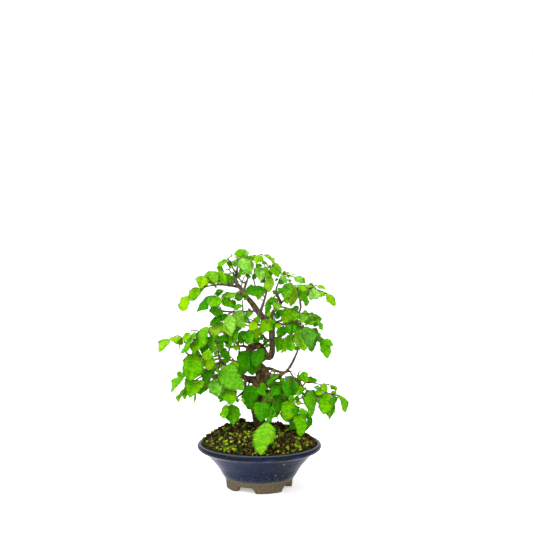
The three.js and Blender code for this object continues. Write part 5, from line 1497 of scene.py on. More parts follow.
STEM_RELIEF = lumps(
    (0.05, 3, 9.0, 0), (0.045, 5, -6.0, 1.1), (0.038, 8, 3.1, 2.0), (0.03, 13, -2.2, 0.4),
    (0.02, 0, 1.9, 0),
)
LIMB_RELIEF = lumps(
    (0.06, 2, 5.0, 0.3), (0.04, 3, -3.3, 1.0), (0.05, 0, 1.6, 0), (0.02, 5, 1.3, 2.0),
)


def limb(name, line):
    """A limb: a smooth line through its marks whose radius changes as smoothly."""
    marks = np.concatenate([seen([mark[:3] for mark in line]), [[mark[3]] for mark in line]], 1)
    thick = max(mark[3] for mark in line)
    stem = name == "stem"
    places = smooth_line(marks, 1.1 if stem else 1.0 + 0.2 * thick)
    radii = np.maximum(places[:, 3], 0.35)
    sides = 56 if stem else 24 if thick > 2.4 else 12
    relief = STEM_RELIEF if stem else LIMB_RELIEF
    return tube(places[:, :3], radii, sides, relief=relief, girth=min(1.0, thick / 6))


# Soil


def grain(x, y, seed):
    """Smooth random heights from -1 to 1: values at whole numbers, blended in between."""
    i, j = np.floor(x), np.floor(y)
    f, g = x - i, y - j
    f, g = f * f * (3 - 2 * f), g * g * (3 - 2 * g)

    def value(a, b):
        return 2 * (np.sin(a * 127.1 + b * 311.7 + seed * 74.7) * 43758.5453 % 1) - 1

    low = value(i, j) * (1 - f) + value(i + 1, j) * f
    high = value(i, j + 1) * (1 - f) + value(i + 1, j + 1) * f
    return low * (1 - g) + high * g


def soil_height(x, y):
    """A mound that falls with the cube of the radius, with low waves and small heaps."""
    r = np.hypot(x, y)
    z = SOIL_EDGE + SOIL_CROWN * (1 - np.minimum(r / SOIL_REACH, 1) ** 3)
    z = z + 0.9 * np.sin(0.42 * x + 1.3) * np.cos(0.37 * y - 0.6)
    for cx, cy, height, reach in CLUMPS:
        z = z + height * np.exp(-((x - cx) ** 2 + (y - cy) ** 2) / reach**2)
    return z


def rough_soil(x, y):
    """The mound with roughness of three sizes that fades towards the bowl's wall."""
    fade = np.clip((SOIL_REACH - np.hypot(x, y)) / 5, 0, 1)
    rough = 0.9 * grain(x / 3.1, y / 3.1, 1) + 0.5 * grain(x / 1.5, y / 1.5, 2)
    return soil_height(x, y) + fade * (rough + 0.25 * grain(x / 0.8, y / 0.8, 3))


def soil_body():
    """The filled earth: rings round the axis, over the mound and down along the bowl's inside."""
    over = np.concatenate([np.linspace(0.8, 60, 66), np.linspace(61, SOIL_REACH, 12)])
    top = turn_line(over, 0 * over, SOIL_SIDES)
    top[..., 2] = rough_soil(top[..., 0], top[..., 1])
    under = turn_line(*np.array(SOIL_UNDER).T, SOIL_SIDES)
    crown = [0, 0, rough_soil(np.zeros(1), np.zeros(1))[0]]
    rings = np.concatenate([top, under])
    return ringed(crown, rings, [0, 0, SOIL_UNDER[-1][1]], turned=True, tone=0.45)


GOLD = (1 + math.sqrt(5)) / 2
LUMP = np.array([
    (-1, GOLD, 0), (1, GOLD, 0), (-1, -GOLD, 0), (1, -GOLD, 0), (0, -1, GOLD), (0, 1, GOLD),
    (0, -1, -GOLD), (0, 1, -GOLD), (GOLD, 0, -1), (GOLD, 0, 1), (-GOLD, 0, -1), (-GOLD, 0, 1),
]) / math.sqrt(1 + GOLD * GOLD)
LUMP_FACES = np.array([
    (0, 11, 5), (0, 5, 1), (0, 1, 7), (0, 7, 10), (0, 10, 11), (1, 5, 9), (5, 11, 4), (11, 10, 2),
    (10, 7, 6), (7, 1, 8), (3, 9, 4), (3, 4, 2), (3, 2, 6), (3, 6, 8), (3, 8, 9), (4, 9, 5),
    (2, 4, 11), (6, 2, 10), (8, 6, 7), (9, 8, 1),
])


def scatter(places, sizes, squash, chance):
    """Lumps of twenty faces: each corner moves out or in by chance, then turns about the upright,
    is flattened and goes to its place."""
    count = len(places)
    turn = chance.uniform(0, 2 * math.pi, count)
    tilt = chance.uniform(-0.9, 0.9, (count, 2))
    form = LUMP[None] * chance.uniform(0.72, 1.2, (count, len(LUMP), 1)) * sizes[:, None]
    c, s = np.cos(turn)[:, None], np.sin(turn)[:, None]
    x = form[..., 0] * c - form[..., 1] * s
    y = form[..., 0] * s + form[..., 1] * c
    z = form[..., 2] * squash + 0.3 * (x * tilt[:, :1] + y * tilt[:, 1:])
    points = (np.stack([x, y, z], -1) + places[:, None]).reshape(-1, 3)
    faces = (LUMP_FACES[None] + len(LUMP) * np.arange(count)[:, None, None]).reshape(-1, 3)
    tone = np.repeat(chance.uniform(0, 1, count), len(LUMP_FACES))
    return Part(points, [faces], tone=tone)


def spots_on_soil(count, chance, inner=9.0, outer=69.0):
    """Even chance of a place anywhere between two circles round the axis."""
    r = np.sqrt(chance.uniform(inner**2, outer**2, count))
    a = chance.uniform(0, 2 * math.pi, count)
    return r * np.cos(a), r * np.sin(a)


def soil_crumbs(chance):
    """Crumbs of many sizes lie half sunk in the earth, most of them small."""
    x, y = spots_on_soil(CRUMB_COUNT, chance)
    size = 0.5 + 2.3 * chance.uniform(0, 1, len(x)) ** 2.8
    z = rough_soil(x, y) + 0.3 * size
    sizes = size[:, None] * chance.uniform(0.7, 1.3, (len(x), 3))
    return scatter(np.stack([x, y, z], 1), sizes, 0.8, chance)


def soil_clods(chance):
    """Clods stand up from the mound where the earth breaks its outline, each a heap of lumps."""
    clods = np.repeat(np.array(CLODS, float), CLOD_LUMPS, axis=0)
    off = chance.uniform(-0.8, 0.8, (len(clods), 3)) * clods[:, 2:]
    x, y = clods[:, 0] + off[:, 0], clods[:, 1] + off[:, 1]
    z = rough_soil(x, y) + 0.4 * clods[:, 2] + np.abs(off[:, 2])
    sizes = clods[:, 2:] * chance.uniform(0.35, 0.7, (len(x), 3))
    return scatter(np.stack([x, y, z], 1), sizes, 1.0, chance)


def moss_tufts(chance):
    """Low moss covers patches where smooth chance is high, with small tufts in heaps."""
    x, y = spots_on_soil(TUFT_COUNT, chance)
    thick = grain(x / 9 + 5, y / 9, 7) + 0.35 * (y < 0) + 0.2 * (x < 0)
    keep = thick > 0.25
    x, y = x[keep], y[keep]
    size = chance.uniform(0.4, 1.0, len(x))
    z = rough_soil(x, y) + chance.uniform(0.0, 0.8, len(x))
    return scatter(np.stack([x, y, z], 1), size[:, None] * np.ones((1, 3)), 1.0, chance)


def moss_heads(chance):
    """Round heads of young moss stand singly and in threes, most in front and on the left."""
    x, y = spots_on_soil(HEAD_COUNT, chance, 16.0, 68.0)
    thick = 0.5 * grain(x / 12 + 9, y / 12, 11) + 0.3 * (y < -25) - 0.5 * (y > 5) - 0.1 * (x > 25)
    keep = thick > 0.12
    x, y = x[keep], y[keep]
    x = np.concatenate([x, x[::3] + 2.9, x[::5] - 1.7])
    y = np.concatenate([y, y[::3] - 1.3, y[::5] - 3.0])
    keep = np.hypot(x, y) < 68
    x, y = x[keep], y[keep]
    size = chance.uniform(1.1, 2.5, len(x))
    z = rough_soil(x, y) + 0.45 * size
    sizes = size[:, None] * chance.uniform(0.85, 1.15, (len(x), 3))
    return scatter(np.stack([x, y, z], 1), sizes, 0.9, chance)


# Bowl


def bowl_wall():
    """The thrown bowl: a profile turned about the axis, its smooth line through the marks, with
    faint rings left by the fingers. Its arch, floor and drain hole keep their corners."""
    marks = [(r, 0, z) for r, z in POT_PROFILE]
    wall = smooth_line(marks[3:15], 0.8)
    line = np.concatenate([marks[:3], wall[:-1], smooth_line(marks[14:17], 1.5), marks[17:]])
    r, z = line[:, 0], line[:, 2]
    outside = (np.arange(len(line)) < len(wall) * 0.55) & (z > 12) & (z < 44)
    r = r + outside * (0.05 * np.sin(1.9 * z) + 0.06 * np.sin(1.1 * z + 1))
    faces = [grid_faces(len(line), POT_SIDES, wrap_rows=True, wrap_columns=True)]
    return Part(turn_line(r, z, POT_SIDES).reshape(-1, 3), faces)


def foot(turn):
    """One foot: across (t from -1 to 1) it spreads upwards in a hollow curve, and its corners are
    rounded; section by section a ring of outer and inner marks."""
    t = np.linspace(-1, 1, 33)
    h = np.linspace(0, 1, 11)
    spread = FOOT_SPREAD_LOW + (FOOT_SPREAD_TOP - FOOT_SPREAD_LOW) * h**1.5
    outer = FOOT_OUTER - 0.9 * (1 - h) ** 1.5
    inner = FOOT_INNER + 0.4 * (1 - h)
    ring_h, ring_r, ring_s = (
        np.concatenate([up, down[::-1]]) for up, down in ((h, h), (outer, inner), (spread, spread))
    )
    angle = math.radians(turn) + np.radians(ring_s)[None] * t[:, None]
    edge = np.sqrt(np.maximum(0, 1 - np.maximum(0, (np.abs(t) - 0.86) / 0.14) ** 2))[:, None]
    middle = (ring_r.max() + ring_r.min()) / 2
    r = middle + (ring_r[None] - middle) * (0.8 + 0.2 * edge)
    z = ring_h[None] * FOOT_HEIGHT + np.zeros_like(angle)
    rings = np.stack([r * np.cos(angle), r * np.sin(angle), z], -1)
    return ringed(rings[0].mean(0), rings, rings[-1].mean(0))


# Materials


# The output in use, for kinds of node of which it isn't the first: name or number.
OUTPUTS = {"Attribute": "Fac", "TexCoord": "Object", "Mix": 2, "VectorMath": "Value"}


def colour(hex_value):
    """An sRGB hex colour as linear red, green, blue and alpha."""
    parts = np.array([int(hex_value[i : i + 2], 16) for i in (1, 3, 5)]) / 255
    linear = np.where(parts <= 0.04045, parts / 12.92, ((parts + 0.055) / 1.055) ** 2.4)
    return (*linear.tolist(), 1.0)


def fill_sockets(tree, node, inputs):
    """Fills a node's inputs, given by name or number or all in their order: a socket is linked, and
    any other value is set, a text being an sRGB hex colour."""
    for key, value in inputs.items() if isinstance(inputs, dict) else enumerate(inputs):
        if isinstance(value, bpy.types.NodeSocket):
            tree.links.new(value, node.inputs[key])
        else:
            node.inputs[key].default_value = colour(value) if isinstance(value, str) else value


def add(tree, kind, inputs=(), stops=(), **settings):
    """Adds a shader node with its inputs and settings and gives its output. A MapRange takes the
    value, its range and the result's range, a Mix the share (0) and two colours (6 and 7), and a
    ValToRGB the places and colours of its stops."""
    made = tree.nodes.new("ShaderNode" + kind)
    for key, value in settings.items():
        setattr(made, key, value)
    fill_sockets(tree, made, inputs)
    for number, (place, value) in enumerate(stops):
        ramp = made.color_ramp.elements
        stop = ramp[number] if number < 2 else ramp.new(place)
        stop.position = place
        stop.color = colour(value)
    return made.outputs[OUTPUTS.get(kind, 0)]


def begin_material(name):
    """A new material, its tree, and the place on the object in metres for its patterns."""
    material = bpy.data.materials.new(name)
    material.use_nodes = True
    return material, material.node_tree, add(material.node_tree, "TexCoord")


def finish_shader(tree, skin, layers=(), **inputs):
    """Lays colours over the skin, each by its share, and fills the shader's other sockets, whose
    names are given with _ for a space."""
    for share, over in layers:
        skin = add(tree, "Mix", {0: share, 6: skin, 7: over}, data_type="RGBA")
    named = {key.replace("_", " "): value for key, value in inputs.items()}
    fill_sockets(tree, tree.nodes["Principled BSDF"], {"Base Color": skin, **named})


def hornbeam_leaf():
    """Living leaf: waxy skin with a soft broad gloss. The eye sees fresh green that differs from
    leaf to leaf, pale straight side veins, a lighter dull underside and a slightly darker edge. Its
    tones also hold painted shade and light, and some leaves carry painted sheen: pale cloudy
    patches, a painted reflection of the sky."""
    settings = bpy.context.scene.bonsai_leaves
    material, tree, place = begin_material("living_hornbeam_leaf")
    flat = add(tree, "UVMap", uv_map="flat")
    parts = add(tree, "SeparateXYZ", (flat,)).node.outputs
    tone = add(tree, "Attribute", attribute_name="tone")
    pale = add(tree, "Attribute", attribute_name="pale")
    under = add(tree, "Attribute", attribute_name="under")
    # Cloudy differences about 4 mm across, and cells of the vein net about 0.8 mm across.
    cloud = add(tree, "TexNoise", {"Vector": place, "Scale": 260.0, "Detail": 4.0})
    net = add(tree, "TexVoronoi", {"Vector": place, "Scale": 1200.0}, feature="DISTANCE_TO_EDGE")
    shift = add(tree, "MapRange", (cloud, 0.3, 0.7, -0.2, 0.2))
    # Streaks between the side veins: the flat coordinates are stretched along the veins.
    flow = add(tree, "Mapping", {"Vector": flat, "Scale": (1.3, 0.9, 1.0)})
    streak = add(tree, "TexNoise", {"Vector": flow, "Scale": 1.0, "Detail": 2.0})
    streak = add(tree, "MapRange", (streak, 0.35, 0.65, -0.18, 0.18))
    mixed = add(tree, "Math", (tone, shift), operation="ADD")
    mixed = add(tree, "Math", (mixed, streak), operation="ADD", use_clamp=True)
    # The tone picks a green from deep to bright: each leaf's own green with its painted shade and
    # light.
    body = add(tree, "ValToRGB", (mixed,), stops=[
        (0.0, settings.deep), (0.35, settings.shaded), (0.65, settings.fresh),
        (1.0, settings.bright),
    ])
    # A side vein lies at each whole number along the first flat coordinate, the rib at 0 across.
    turn = add(tree, "Math", (parts[0], 0.5), operation="ADD")
    part = add(tree, "Math", (turn,), operation="FRACT")
    off = add(tree, "Math", (part, 0.5), operation="SUBTRACT")
    far = add(tree, "Math", (off,), operation="ABSOLUTE")
    side_vein = add(tree, "MapRange", (far, 0.03, 0.14, 1.0, 0.0))
    across = add(tree, "Math", (parts[1],), operation="ABSOLUTE")
    rib = add(tree, "MapRange", (across, 0.02, 0.09, 0.75, 0.0))
    fade = add(tree, "MapRange", (across, 0.75, 1.0, 0.75, 0.3))
    side_vein = add(tree, "Math", (side_vein, fade), operation="MULTIPLY")
    veins = add(tree, "Math", (side_vein, rib), operation="MAXIMUM")
    threads = add(tree, "MapRange", (net, 0.0, 0.12, 0.18, 0.0))
    drawn = add(tree, "Math", (veins, settings.vein), operation="MULTIPLY")
    drawn = add(tree, "Math", (drawn, threads), operation="MAXIMUM")
    # Painted sheen: pale cloudy patches on the leaves marked pale, a painted reflection of the sky.
    patch = add(tree, "MapRange", (cloud, 0.38, 0.62, 0.35, 1.0))
    mirror = add(tree, "Math", (pale, patch), operation="MULTIPLY")
    dull = add(tree, "Math", (under, 0.55), operation="MULTIPLY")
    layers = [(drawn, settings.veins), (mirror, settings.pale), (dull, settings.underside)]
    gloss = add(tree, "MapRange", (cloud, 0.3, 0.7, 0.32, 0.5))
    grain_height = add(tree, "Math", (net, veins), operation="SUBTRACT")
    bump = add(tree, "Bump", {"Height": grain_height, "Strength": 0.6, "Distance": 0.0003})
    shine = {"IOR": 1.42, "Specular_IOR_Level": 0.09, "Specular_Tint": settings.gloss}
    finish_shader(tree, body, layers, Roughness=gloss, Normal=bump, **shine)
    return material


def leaf_stalk():
    """Young bark of stalks and twigs: smooth, with short hairs too fine to see. The eye sees
    reddish brown that turns pinkish and then green towards the blade."""
    material, tree, place = begin_material("young_hornbeam_shoot")
    flat = add(tree, "UVMap", uv_map="flat")
    along = add(tree, "SeparateXYZ", (flat,)).node.outputs[1]
    # Streaks about 2 mm long.
    cloud = add(tree, "TexNoise", {"Vector": place, "Scale": 500.0, "Detail": 2.0})
    shift = add(tree, "MapRange", (cloud, 0.3, 0.7, -0.12, 0.12))
    mixed = add(tree, "Math", (along, shift), operation="ADD")
    share = add(tree, "MapRange", (mixed, -0.6, 1.0, 0.0, 1.0))
    skin = add(tree, "ValToRGB", (share,), stops=[
        (0.0, "#38231a"), (0.4, "#5c2a1c"), (0.65, "#84392a"),
        (0.85, "#7c7226"), (1.0, "#6a9a18"),
    ])
    bump = add(tree, "Bump", {"Height": cloud, "Strength": 0.3, "Distance": 0.0002})
    finish_shader(tree, skin, Roughness=0.5, Normal=bump, Specular_IOR_Level=0.2)
    return material


def winter_bud():
    """Bud scales: dry, smooth and overlapping. The eye sees small reddish brown points."""
    material, tree, place = begin_material("hornbeam_bud_scales")
    # Scales about 0.6 mm high.
    cells = add(tree, "TexVoronoi", {"Vector": place, "Scale": 1700.0})
    skin = add(tree, "ValToRGB", (cells,), stops=[
        (0.0, "#8c5b3a"), (0.6, "#5e3a26"), (1.0, "#3f2a1c"),
    ])
    bump = add(tree, "Bump", {"Height": cells, "Strength": 0.5, "Distance": 0.0002})
    finish_shader(tree, skin, Roughness=0.55, Normal=bump)
    return material


def hornbeam_bark():
    """Bark of an old stem: dry, ridged along the stem, with pale patches and dark cracks. The eye
    sees matt grey brown, greyer and finer on thin limbs, and green dust of algae low down."""
    settings = bpy.context.scene.bonsai_wood
    material, tree, place = begin_material("ridged_hornbeam_bark")
    girth = add(tree, "Attribute", attribute_name="girth")
    stretched = add(tree, "Mapping", {"Vector": place, "Scale": (1.0, 1.0, 0.38)})
    # Plates about 3 mm across, cracks between them, and dust of 0.5 mm.
    plates = {"Vector": stretched, "Scale": 330.0, "Detail": 6.0, "Roughness": 0.62}
    plates = add(tree, "TexNoise", plates)
    cracks = {"Vector": stretched, "Scale": 420.0}
    cracks = add(tree, "TexVoronoi", cracks, feature="DISTANCE_TO_EDGE")
    dust = add(tree, "TexNoise", {"Vector": place, "Scale": 1900.0, "Detail": 2.0})
    patch = add(tree, "TexNoise", {"Vector": place, "Scale": 75.0, "Detail": 3.0})
    # The plates' colour follows the bump's relief, darker in furrows and lighter on ridges: partly
    # the bark's own colour, partly painted shade and light.
    skin = add(tree, "ValToRGB", (plates,), stops=[
        (0.25, "#241a12"), (0.45, settings.dark), (0.6, settings.middle),
        (0.8, settings.light),
    ])
    high = add(tree, "SeparateXYZ", (place,)).node.outputs[2]
    pale = add(tree, "MapRange", (high, *GREYER_BARK, 0.25, 0.6))
    grey = add(tree, "MapRange", (patch, 0.45, 0.65, 0.0, pale))
    thin = add(tree, "MapRange", (girth, 0.15, 0.8, 0.5, 0.0))
    # The cracks are darker, partly the bark's own colour and partly painted shade in them.
    dark = add(tree, "MapRange", (cracks, 0.0, 0.1, 0.6, 0.0))
    dark = add(tree, "Math", (dark, girth), operation="MULTIPLY")
    # Below the lowest limbs the stem stands in the crown's shade, painted here as darker red brown
    #     # bark: painted shade. Algae colour its foot.
    painted_low_shade = add(tree, "MapRange", (high, *PAINTED_SHADE_BARK, 0.65, 0.0))
    green = add(tree, "MapRange", (high, *GREEN_BARK, 0.45, 0.0))
    green = add(tree, "Math", (green, patch), operation="MULTIPLY")
    layers = [(grey, "#8d8474"), (thin, "#5d5044"), (dark, "#1a130d"), (painted_low_shade, "#2c160d")]
    layers.append((green, "#5d6a2a"))
    rise = add(tree, "Math", (plates, cracks), operation="ADD")
    rise = add(tree, "Math", (dust, 0.25, rise), operation="MULTIPLY_ADD")
    bump = add(tree, "Bump", {"Height": rise, "Strength": 1.0, "Distance": 0.0014})
    finish_shader(tree, skin, layers, Roughness=0.88, Normal=bump, Specular_IOR_Level=0.15)
    return material


def potting_earth(name, stops, size):
    """Fired clay grit, humus and bark bits: porous and dull. The eye sees dark olive brown crumbs
    with paler and redder ones among them, or with green stops the soft cushions of moss."""
    material, tree, place = begin_material(name)
    cloud = {"Vector": place, "Scale": 0.7 / size, "Detail": 5.0, "Roughness": 0.7}
    cloud = add(tree, "TexNoise", cloud)
    fine = add(tree, "TexNoise", {"Vector": place, "Scale": 3.0 / size, "Detail": 3.0})
    tone = add(tree, "Attribute", attribute_name="tone")
    shift = add(tree, "MapRange", (cloud, 0.3, 0.7, -0.3, 0.3))
    share = add(tree, "Math", (tone, shift), operation="ADD", use_clamp=True)
    skin = add(tree, "ValToRGB", (share,), stops=stops)
    bump = add(tree, "Bump", {"Height": fine, "Strength": 0.8, "Distance": 0.0006})
    finish_shader(tree, skin, Roughness=0.96, Normal=bump, Specular_IOR_Level=0.1)
    return material


def stoneware():
    """Wheel-thrown stoneware with a cobalt glaze over bare clay: glassy and slightly wavy. The eye
    sees dark navy with brighter blue where the glaze is thin on the rim, grey clouds, a few worn
    pale spots, and dull grey-brown clay on the foot."""
    settings = bpy.context.scene.bonsai_pot
    material, tree, place = begin_material("cobalt_glazed_stoneware")
    x, _, z = add(tree, "SeparateXYZ", (place,)).node.outputs
    # Clouds of the glaze about 20 mm across, speckles of 1 mm.
    cloud = {"Vector": place, "Scale": 65.0, "Detail": 6.0, "Roughness": 0.6, "Distortion": 0.8}
    cloud = add(tree, "TexNoise", cloud)
    speck = add(tree, "TexNoise", {"Vector": place, "Scale": 1000.0, "Detail": 2.0})
    glaze = add(tree, "ValToRGB", (cloud,), stops=[
        (0.3, settings.glaze_dark), (0.55, settings.glaze), (0.8, settings.glaze_grey),
    ])
    # The left side is painted bluer and lighter than the right, a painted reflection of the bright
    #     # surroundings on that side.
    side = add(tree, "MapRange", (x, AXIS[0] - 0.06, AXIS[0] + 0.03, 0.75, 0.0))
    rim = add(tree, "MapRange", (z, *RIM, 0.0, 0.85))
    layers = [(side, settings.painted_reflection_side), (rim, settings.glaze_dark)]
    # Thin glaze shows cobalt in soft strips low on the rim.
    band = add(tree, "MapRange", (z, *RIM_COBALT, 1.6, 0.0))
    band = add(tree, "Math", (band, rim), operation="MULTIPLY", use_clamp=True)
    for *patch, reach in RIM_PATCHES:
        spot = to_metres(np.array(patch))
        near = add(tree, "VectorMath", (place, spot), operation="DISTANCE")
        near = add(tree, "Math", (cloud, 0.03, near), operation="MULTIPLY_ADD")
        near = add(tree, "MapRange", (near, 15 * MM, (reach + 15) * MM, 1.0, 0.0))
        near = add(tree, "Math", (near, band), operation="MULTIPLY")
        layers.append((near, settings.glaze_rim))
    # The glaze ends in a wavy line above the foot, is thin at its edge and where wall and rim meet.
    wave = add(tree, "TexNoise", {"Vector": place, "Scale": 70.0, "Detail": 2.0})
    line = add(tree, "Math", (wave, 0.0032, z), operation="MULTIPLY_ADD")
    bare = add(tree, "MapRange", (line, *BARE_CLAY, 1.0, 0.0))
    edge = add(tree, "MapRange", (line, *THIN_EDGE, 0.8, 0.0))
    lip = add(tree, "Math", (line, LIP_HEIGHT), operation="SUBTRACT")
    lip = add(tree, "Math", (lip,), operation="ABSOLUTE")
    lip = add(tree, "MapRange", (lip, *LIP, 0.6, 0.0))
    clay = add(tree, "ValToRGB", (speck,), stops=[
        (0.3, "#4f473d"), (0.55, settings.clay), (0.75, "#8a8070"),
    ])
    # Pale specks about 1.5 mm across gather towards the glaze's lower edge.
    specks = {"Vector": place, "Scale": 420.0, "Detail": 3.0, "Roughness": 0.65}
    specks = add(tree, "TexNoise", specks)
    low = add(tree, "MapRange", (z, *LOW_GLAZE, 0.12, 0.0))
    specks = add(tree, "Math", (specks, low), operation="ADD")
    specks = add(tree, "MapRange", (specks, 0.61, 0.76, 0.0, 0.5))
    # A thin pale line along the rim's top: a painted highlight, where the glaze also runs thin.
    thin = add(tree, "MapRange", (z, *RIM_LINE, 0.0, 0.28))
    layers += [(specks, "#5c6060"), (thin, "#7a8288"), (lip, "#5f5a4c"), (edge, "#55524a")]
    layers.append((bare, clay))
    for *worn, reach in WORN_SPOTS:
        spot = to_metres(np.array(worn))
        near = add(tree, "VectorMath", (place, spot), operation="DISTANCE")
        near = add(tree, "Math", (speck, 0.0022, near), operation="MULTIPLY_ADD")
        near = add(tree, "MapRange", (near, reach * MM, 2 * reach * MM, 0.8, 0.0))
        layers.append((near, "#8f8868"))
    dull = add(tree, "MapRange", (cloud, 0.3, 0.7, 0.14, 0.3))
    rough = add(tree, "MapRange", {0: bare, 3: dull, 4: 0.85})
    rise = add(tree, "Math", (speck, 0.4, cloud), operation="MULTIPLY_ADD")
    bump = add(tree, "Bump", {"Height": rise, "Strength": 0.12, "Distance": 0.001})
    shine = {"IOR": 1.45, "Specular_IOR_Level": 0.06}
    finish_shader(tree, glaze, layers, Roughness=rough, Normal=bump, **shine)
    return material


def net_plastic():
    """Moulded polyethylene mesh: soft black plastic, slightly rough and dusty."""
    material, tree, place = begin_material("moulded_polyethylene")
    cloud = add(tree, "TexNoise", {"Vector": place, "Scale": 400.0, "Detail": 3.0})
    skin = add(tree, "ValToRGB", (cloud,), stops=[(0.3, "#151617"), (0.7, "#2a2b2b")])
    bump = add(tree, "Bump", {"Height": cloud, "Strength": 0.2, "Distance": 0.0002})
    finish_shader(tree, skin, Roughness=0.5, Normal=bump)
    return material


def studio_floor():
    """Matt white paper: even and nearly free of gloss. It also glows faintly, painted light that
    keeps it white where shadows would fall.
    """
    material, tree, place = begin_material("glowing_white_paper")
    cloud = add(tree, "TexNoise", {"Vector": place, "Scale": 8.0, "Detail": 2.0})
    skin = add(tree, "ValToRGB", (cloud,), stops=[(0.3, "#fbfbfa"), (0.7, "#fdfdfc")])
    # The floor glows faintly: painted light that whitens the shadows on it.
    light = {"Emission_Color": "#ffffff", "Emission_Strength": 0.4}
    finish_shader(tree, skin, Roughness=0.9, **light)
    return material


# What a user may change


def hex_colour(name, what, default):
    """A text property for a colour."""
    what = f"{what}, as sRGB hex"
    return bpy.props.StringProperty(name=name, description=what, default=default)


class BonsaiLeaves(bpy.types.PropertyGroup):
    tooth: bpy.props.FloatProperty(
        name="Tooth", description="Reach of a large tooth as a share of half the blade's breadth",
        default=0.16, min=0, max=0.4, subtype="FACTOR",
    )
    pleat: bpy.props.FloatProperty(
        name="Pleat", description="Swelling between side veins as a share of half the breadth",
        default=0.075, min=0, max=0.2, subtype="FACTOR",
    )
    vein: bpy.props.FloatProperty(
        name="Vein Strength", description="How much paler than the blade the veins are",
        default=0.28, min=0, max=1, subtype="FACTOR",
    )
    # From deep to bright these greens paint each leaf's own colour with painted shade and light:
    # deep and shaded for leaves in shade, bright for young leaves and for those in the light.
    deep: hex_colour("Deep Green", "Colour of the darkest leaves", "#066204")
    shaded: hex_colour("Shaded Green", "Colour of leaves in the crown", "#237b03")
    fresh: hex_colour("Fresh Green", "Colour of most leaves", "#4b9203")
    bright: hex_colour("Bright Green", "Colour of the youngest leaves", "#7ca904")
    # The pale sheen is a painted reflection of the sky.
    pale: hex_colour("Pale Sheen", "Colour of leaves that mirror the sky", "#96c75a")
    gloss: hex_colour("Gloss", "Colour of the skin's gloss", "#aee23e")
    veins: hex_colour("Veins", "Colour of the veins", "#82b014")
    underside: hex_colour("Underside", "Colour of the underside", "#548812")


class BonsaiWood(bpy.types.PropertyGroup):
    # The furrows are painted darker and the ridges lighter: partly the bark's own colour, partly
    # painted shade and light of its relief.
    dark: hex_colour("Furrows", "Colour of the bark's furrows", "#2e2314")
    middle: hex_colour("Bark", "Main colour of the bark", "#6a5629")
    light: hex_colour("Ridges", "Colour of the bark's ridges", "#a68f50")


class BonsaiSoil(bpy.types.PropertyGroup):
    seed: bpy.props.IntProperty(
        name="Seed", description="Chooses where crumbs and moss lie", default=7, min=0
    )


class BonsaiPot(bpy.types.PropertyGroup):
    glaze: hex_colour("Glaze", "Main colour of the glaze", "#131a2b")
    glaze_dark: hex_colour("Thick Glaze", "Colour where the glaze is thick", "#0a0f1c")
    glaze_grey: hex_colour("Grey Glaze", "Colour of the glaze's grey clouds", "#272d39")
    # The bluer side is a painted reflection on the bowl's left.
    painted_reflection_side: hex_colour("Blue Side", "Colour of the glaze's bluer side", "#1c2748")
    glaze_rim: hex_colour("Rim", "Colour of the thin glaze on the rim", "#101e4c")
    clay: hex_colour("Clay", "Colour of the bare clay", "#5c523d")


class BonsaiStage(bpy.types.PropertyGroup):
    key_power: bpy.props.FloatProperty(
        name="Key Light", description="Power of the large light at the upper left", default=21.0,
        min=0, unit="POWER",
    )
    fill_power: bpy.props.FloatProperty(
        name="Fill Light", description="Power of the light at the right", default=3.5, min=0,
        unit="POWER",
    )
    sky: bpy.props.FloatProperty(
        name="Sky", description="Strength of the even light all round", default=1.0, min=0
    )



# Operators


class BONSAI_OT_leaves(bpy.types.Operator):
    """Build every spray of leaves with its twigs"""

    bl_idname = "bonsai.leaves"
    bl_label = "Leaves"

    def execute(self, context):
        sprays = grow_sprays()
        shape_marked(sprays)
        limbs = [seen([mark[:3] for mark in line]) for line in LIMBS.values()]
        wood = np.concatenate([points_of_line(places, 2) for places in limbs])
        materials = [hornbeam_leaf(), leaf_stalk(), winter_bud()]
        for turn, spray in enumerate(sprays):
            name = spray["name"]
            parts = spray_parts(spray, wood, tones_of(turn, spray))
            make_piece(f"leaves_{name}", parts, materials, [f"spray_{name}"])
        return {"FINISHED"}


class BONSAI_OT_wood(bpy.types.Operator):
    """Build the stem and the limbs"""

    bl_idname = "bonsai.wood"
    bl_label = "Stem and Limbs"

    def execute(self, context):
        parts = [limb(name, line) for name, line in {**LIMBS, **SPURS}.items()]
        make_piece("stem_and_limbs", parts, [hornbeam_bark()], ["trunk_and_branches"])
        return {"FINISHED"}


class BONSAI_OT_soil(bpy.types.Operator):
    """Build the earth, its crumbs and the moss"""

    bl_idname = "bonsai.soil"
    bl_label = "Soil and Moss"

    def execute(self, context):
        chance = np.random.default_rng(context.scene.bonsai_soil.seed)
        looks = [potting_earth(name, stops, size) for name, (size, stops) in EARTH_LOOKS.items()]
        earth, crumbs, low_moss, heads = looks
        make_piece("soil_mound", [soil_body()], [earth], ["soil"])
        make_piece("soil_grit", [soil_crumbs(chance), soil_clods(chance)], [crumbs])
        make_piece("low_moss", [moss_tufts(chance)], [low_moss])
        make_piece("moss_heads", [moss_heads(chance)], [heads])
        return {"FINISHED"}


class BONSAI_OT_pot(bpy.types.Operator):
    """Build the bowl with its feet"""

    bl_idname = "bonsai.pot"
    bl_label = "Bowl"

    def execute(self, context):
        feet = [foot(FOOT_TURN + 360 * k / FOOT_COUNT) for k in range(FOOT_COUNT)]
        make_piece("bowl", [bowl_wall(), *feet], [stoneware()], ["pot"])
        return {"FINISHED"}


class BONSAI_OT_net(bpy.types.Operator):
    """Give the net over the drain hole its plastic"""

    bl_idname = "bonsai.net"
    bl_label = "Drain Net"

    def execute(self, context):
        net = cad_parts["drain_net"]
        net.data.materials.clear()
        net.data.materials.append(net_plastic())
        return {"FINISHED"}


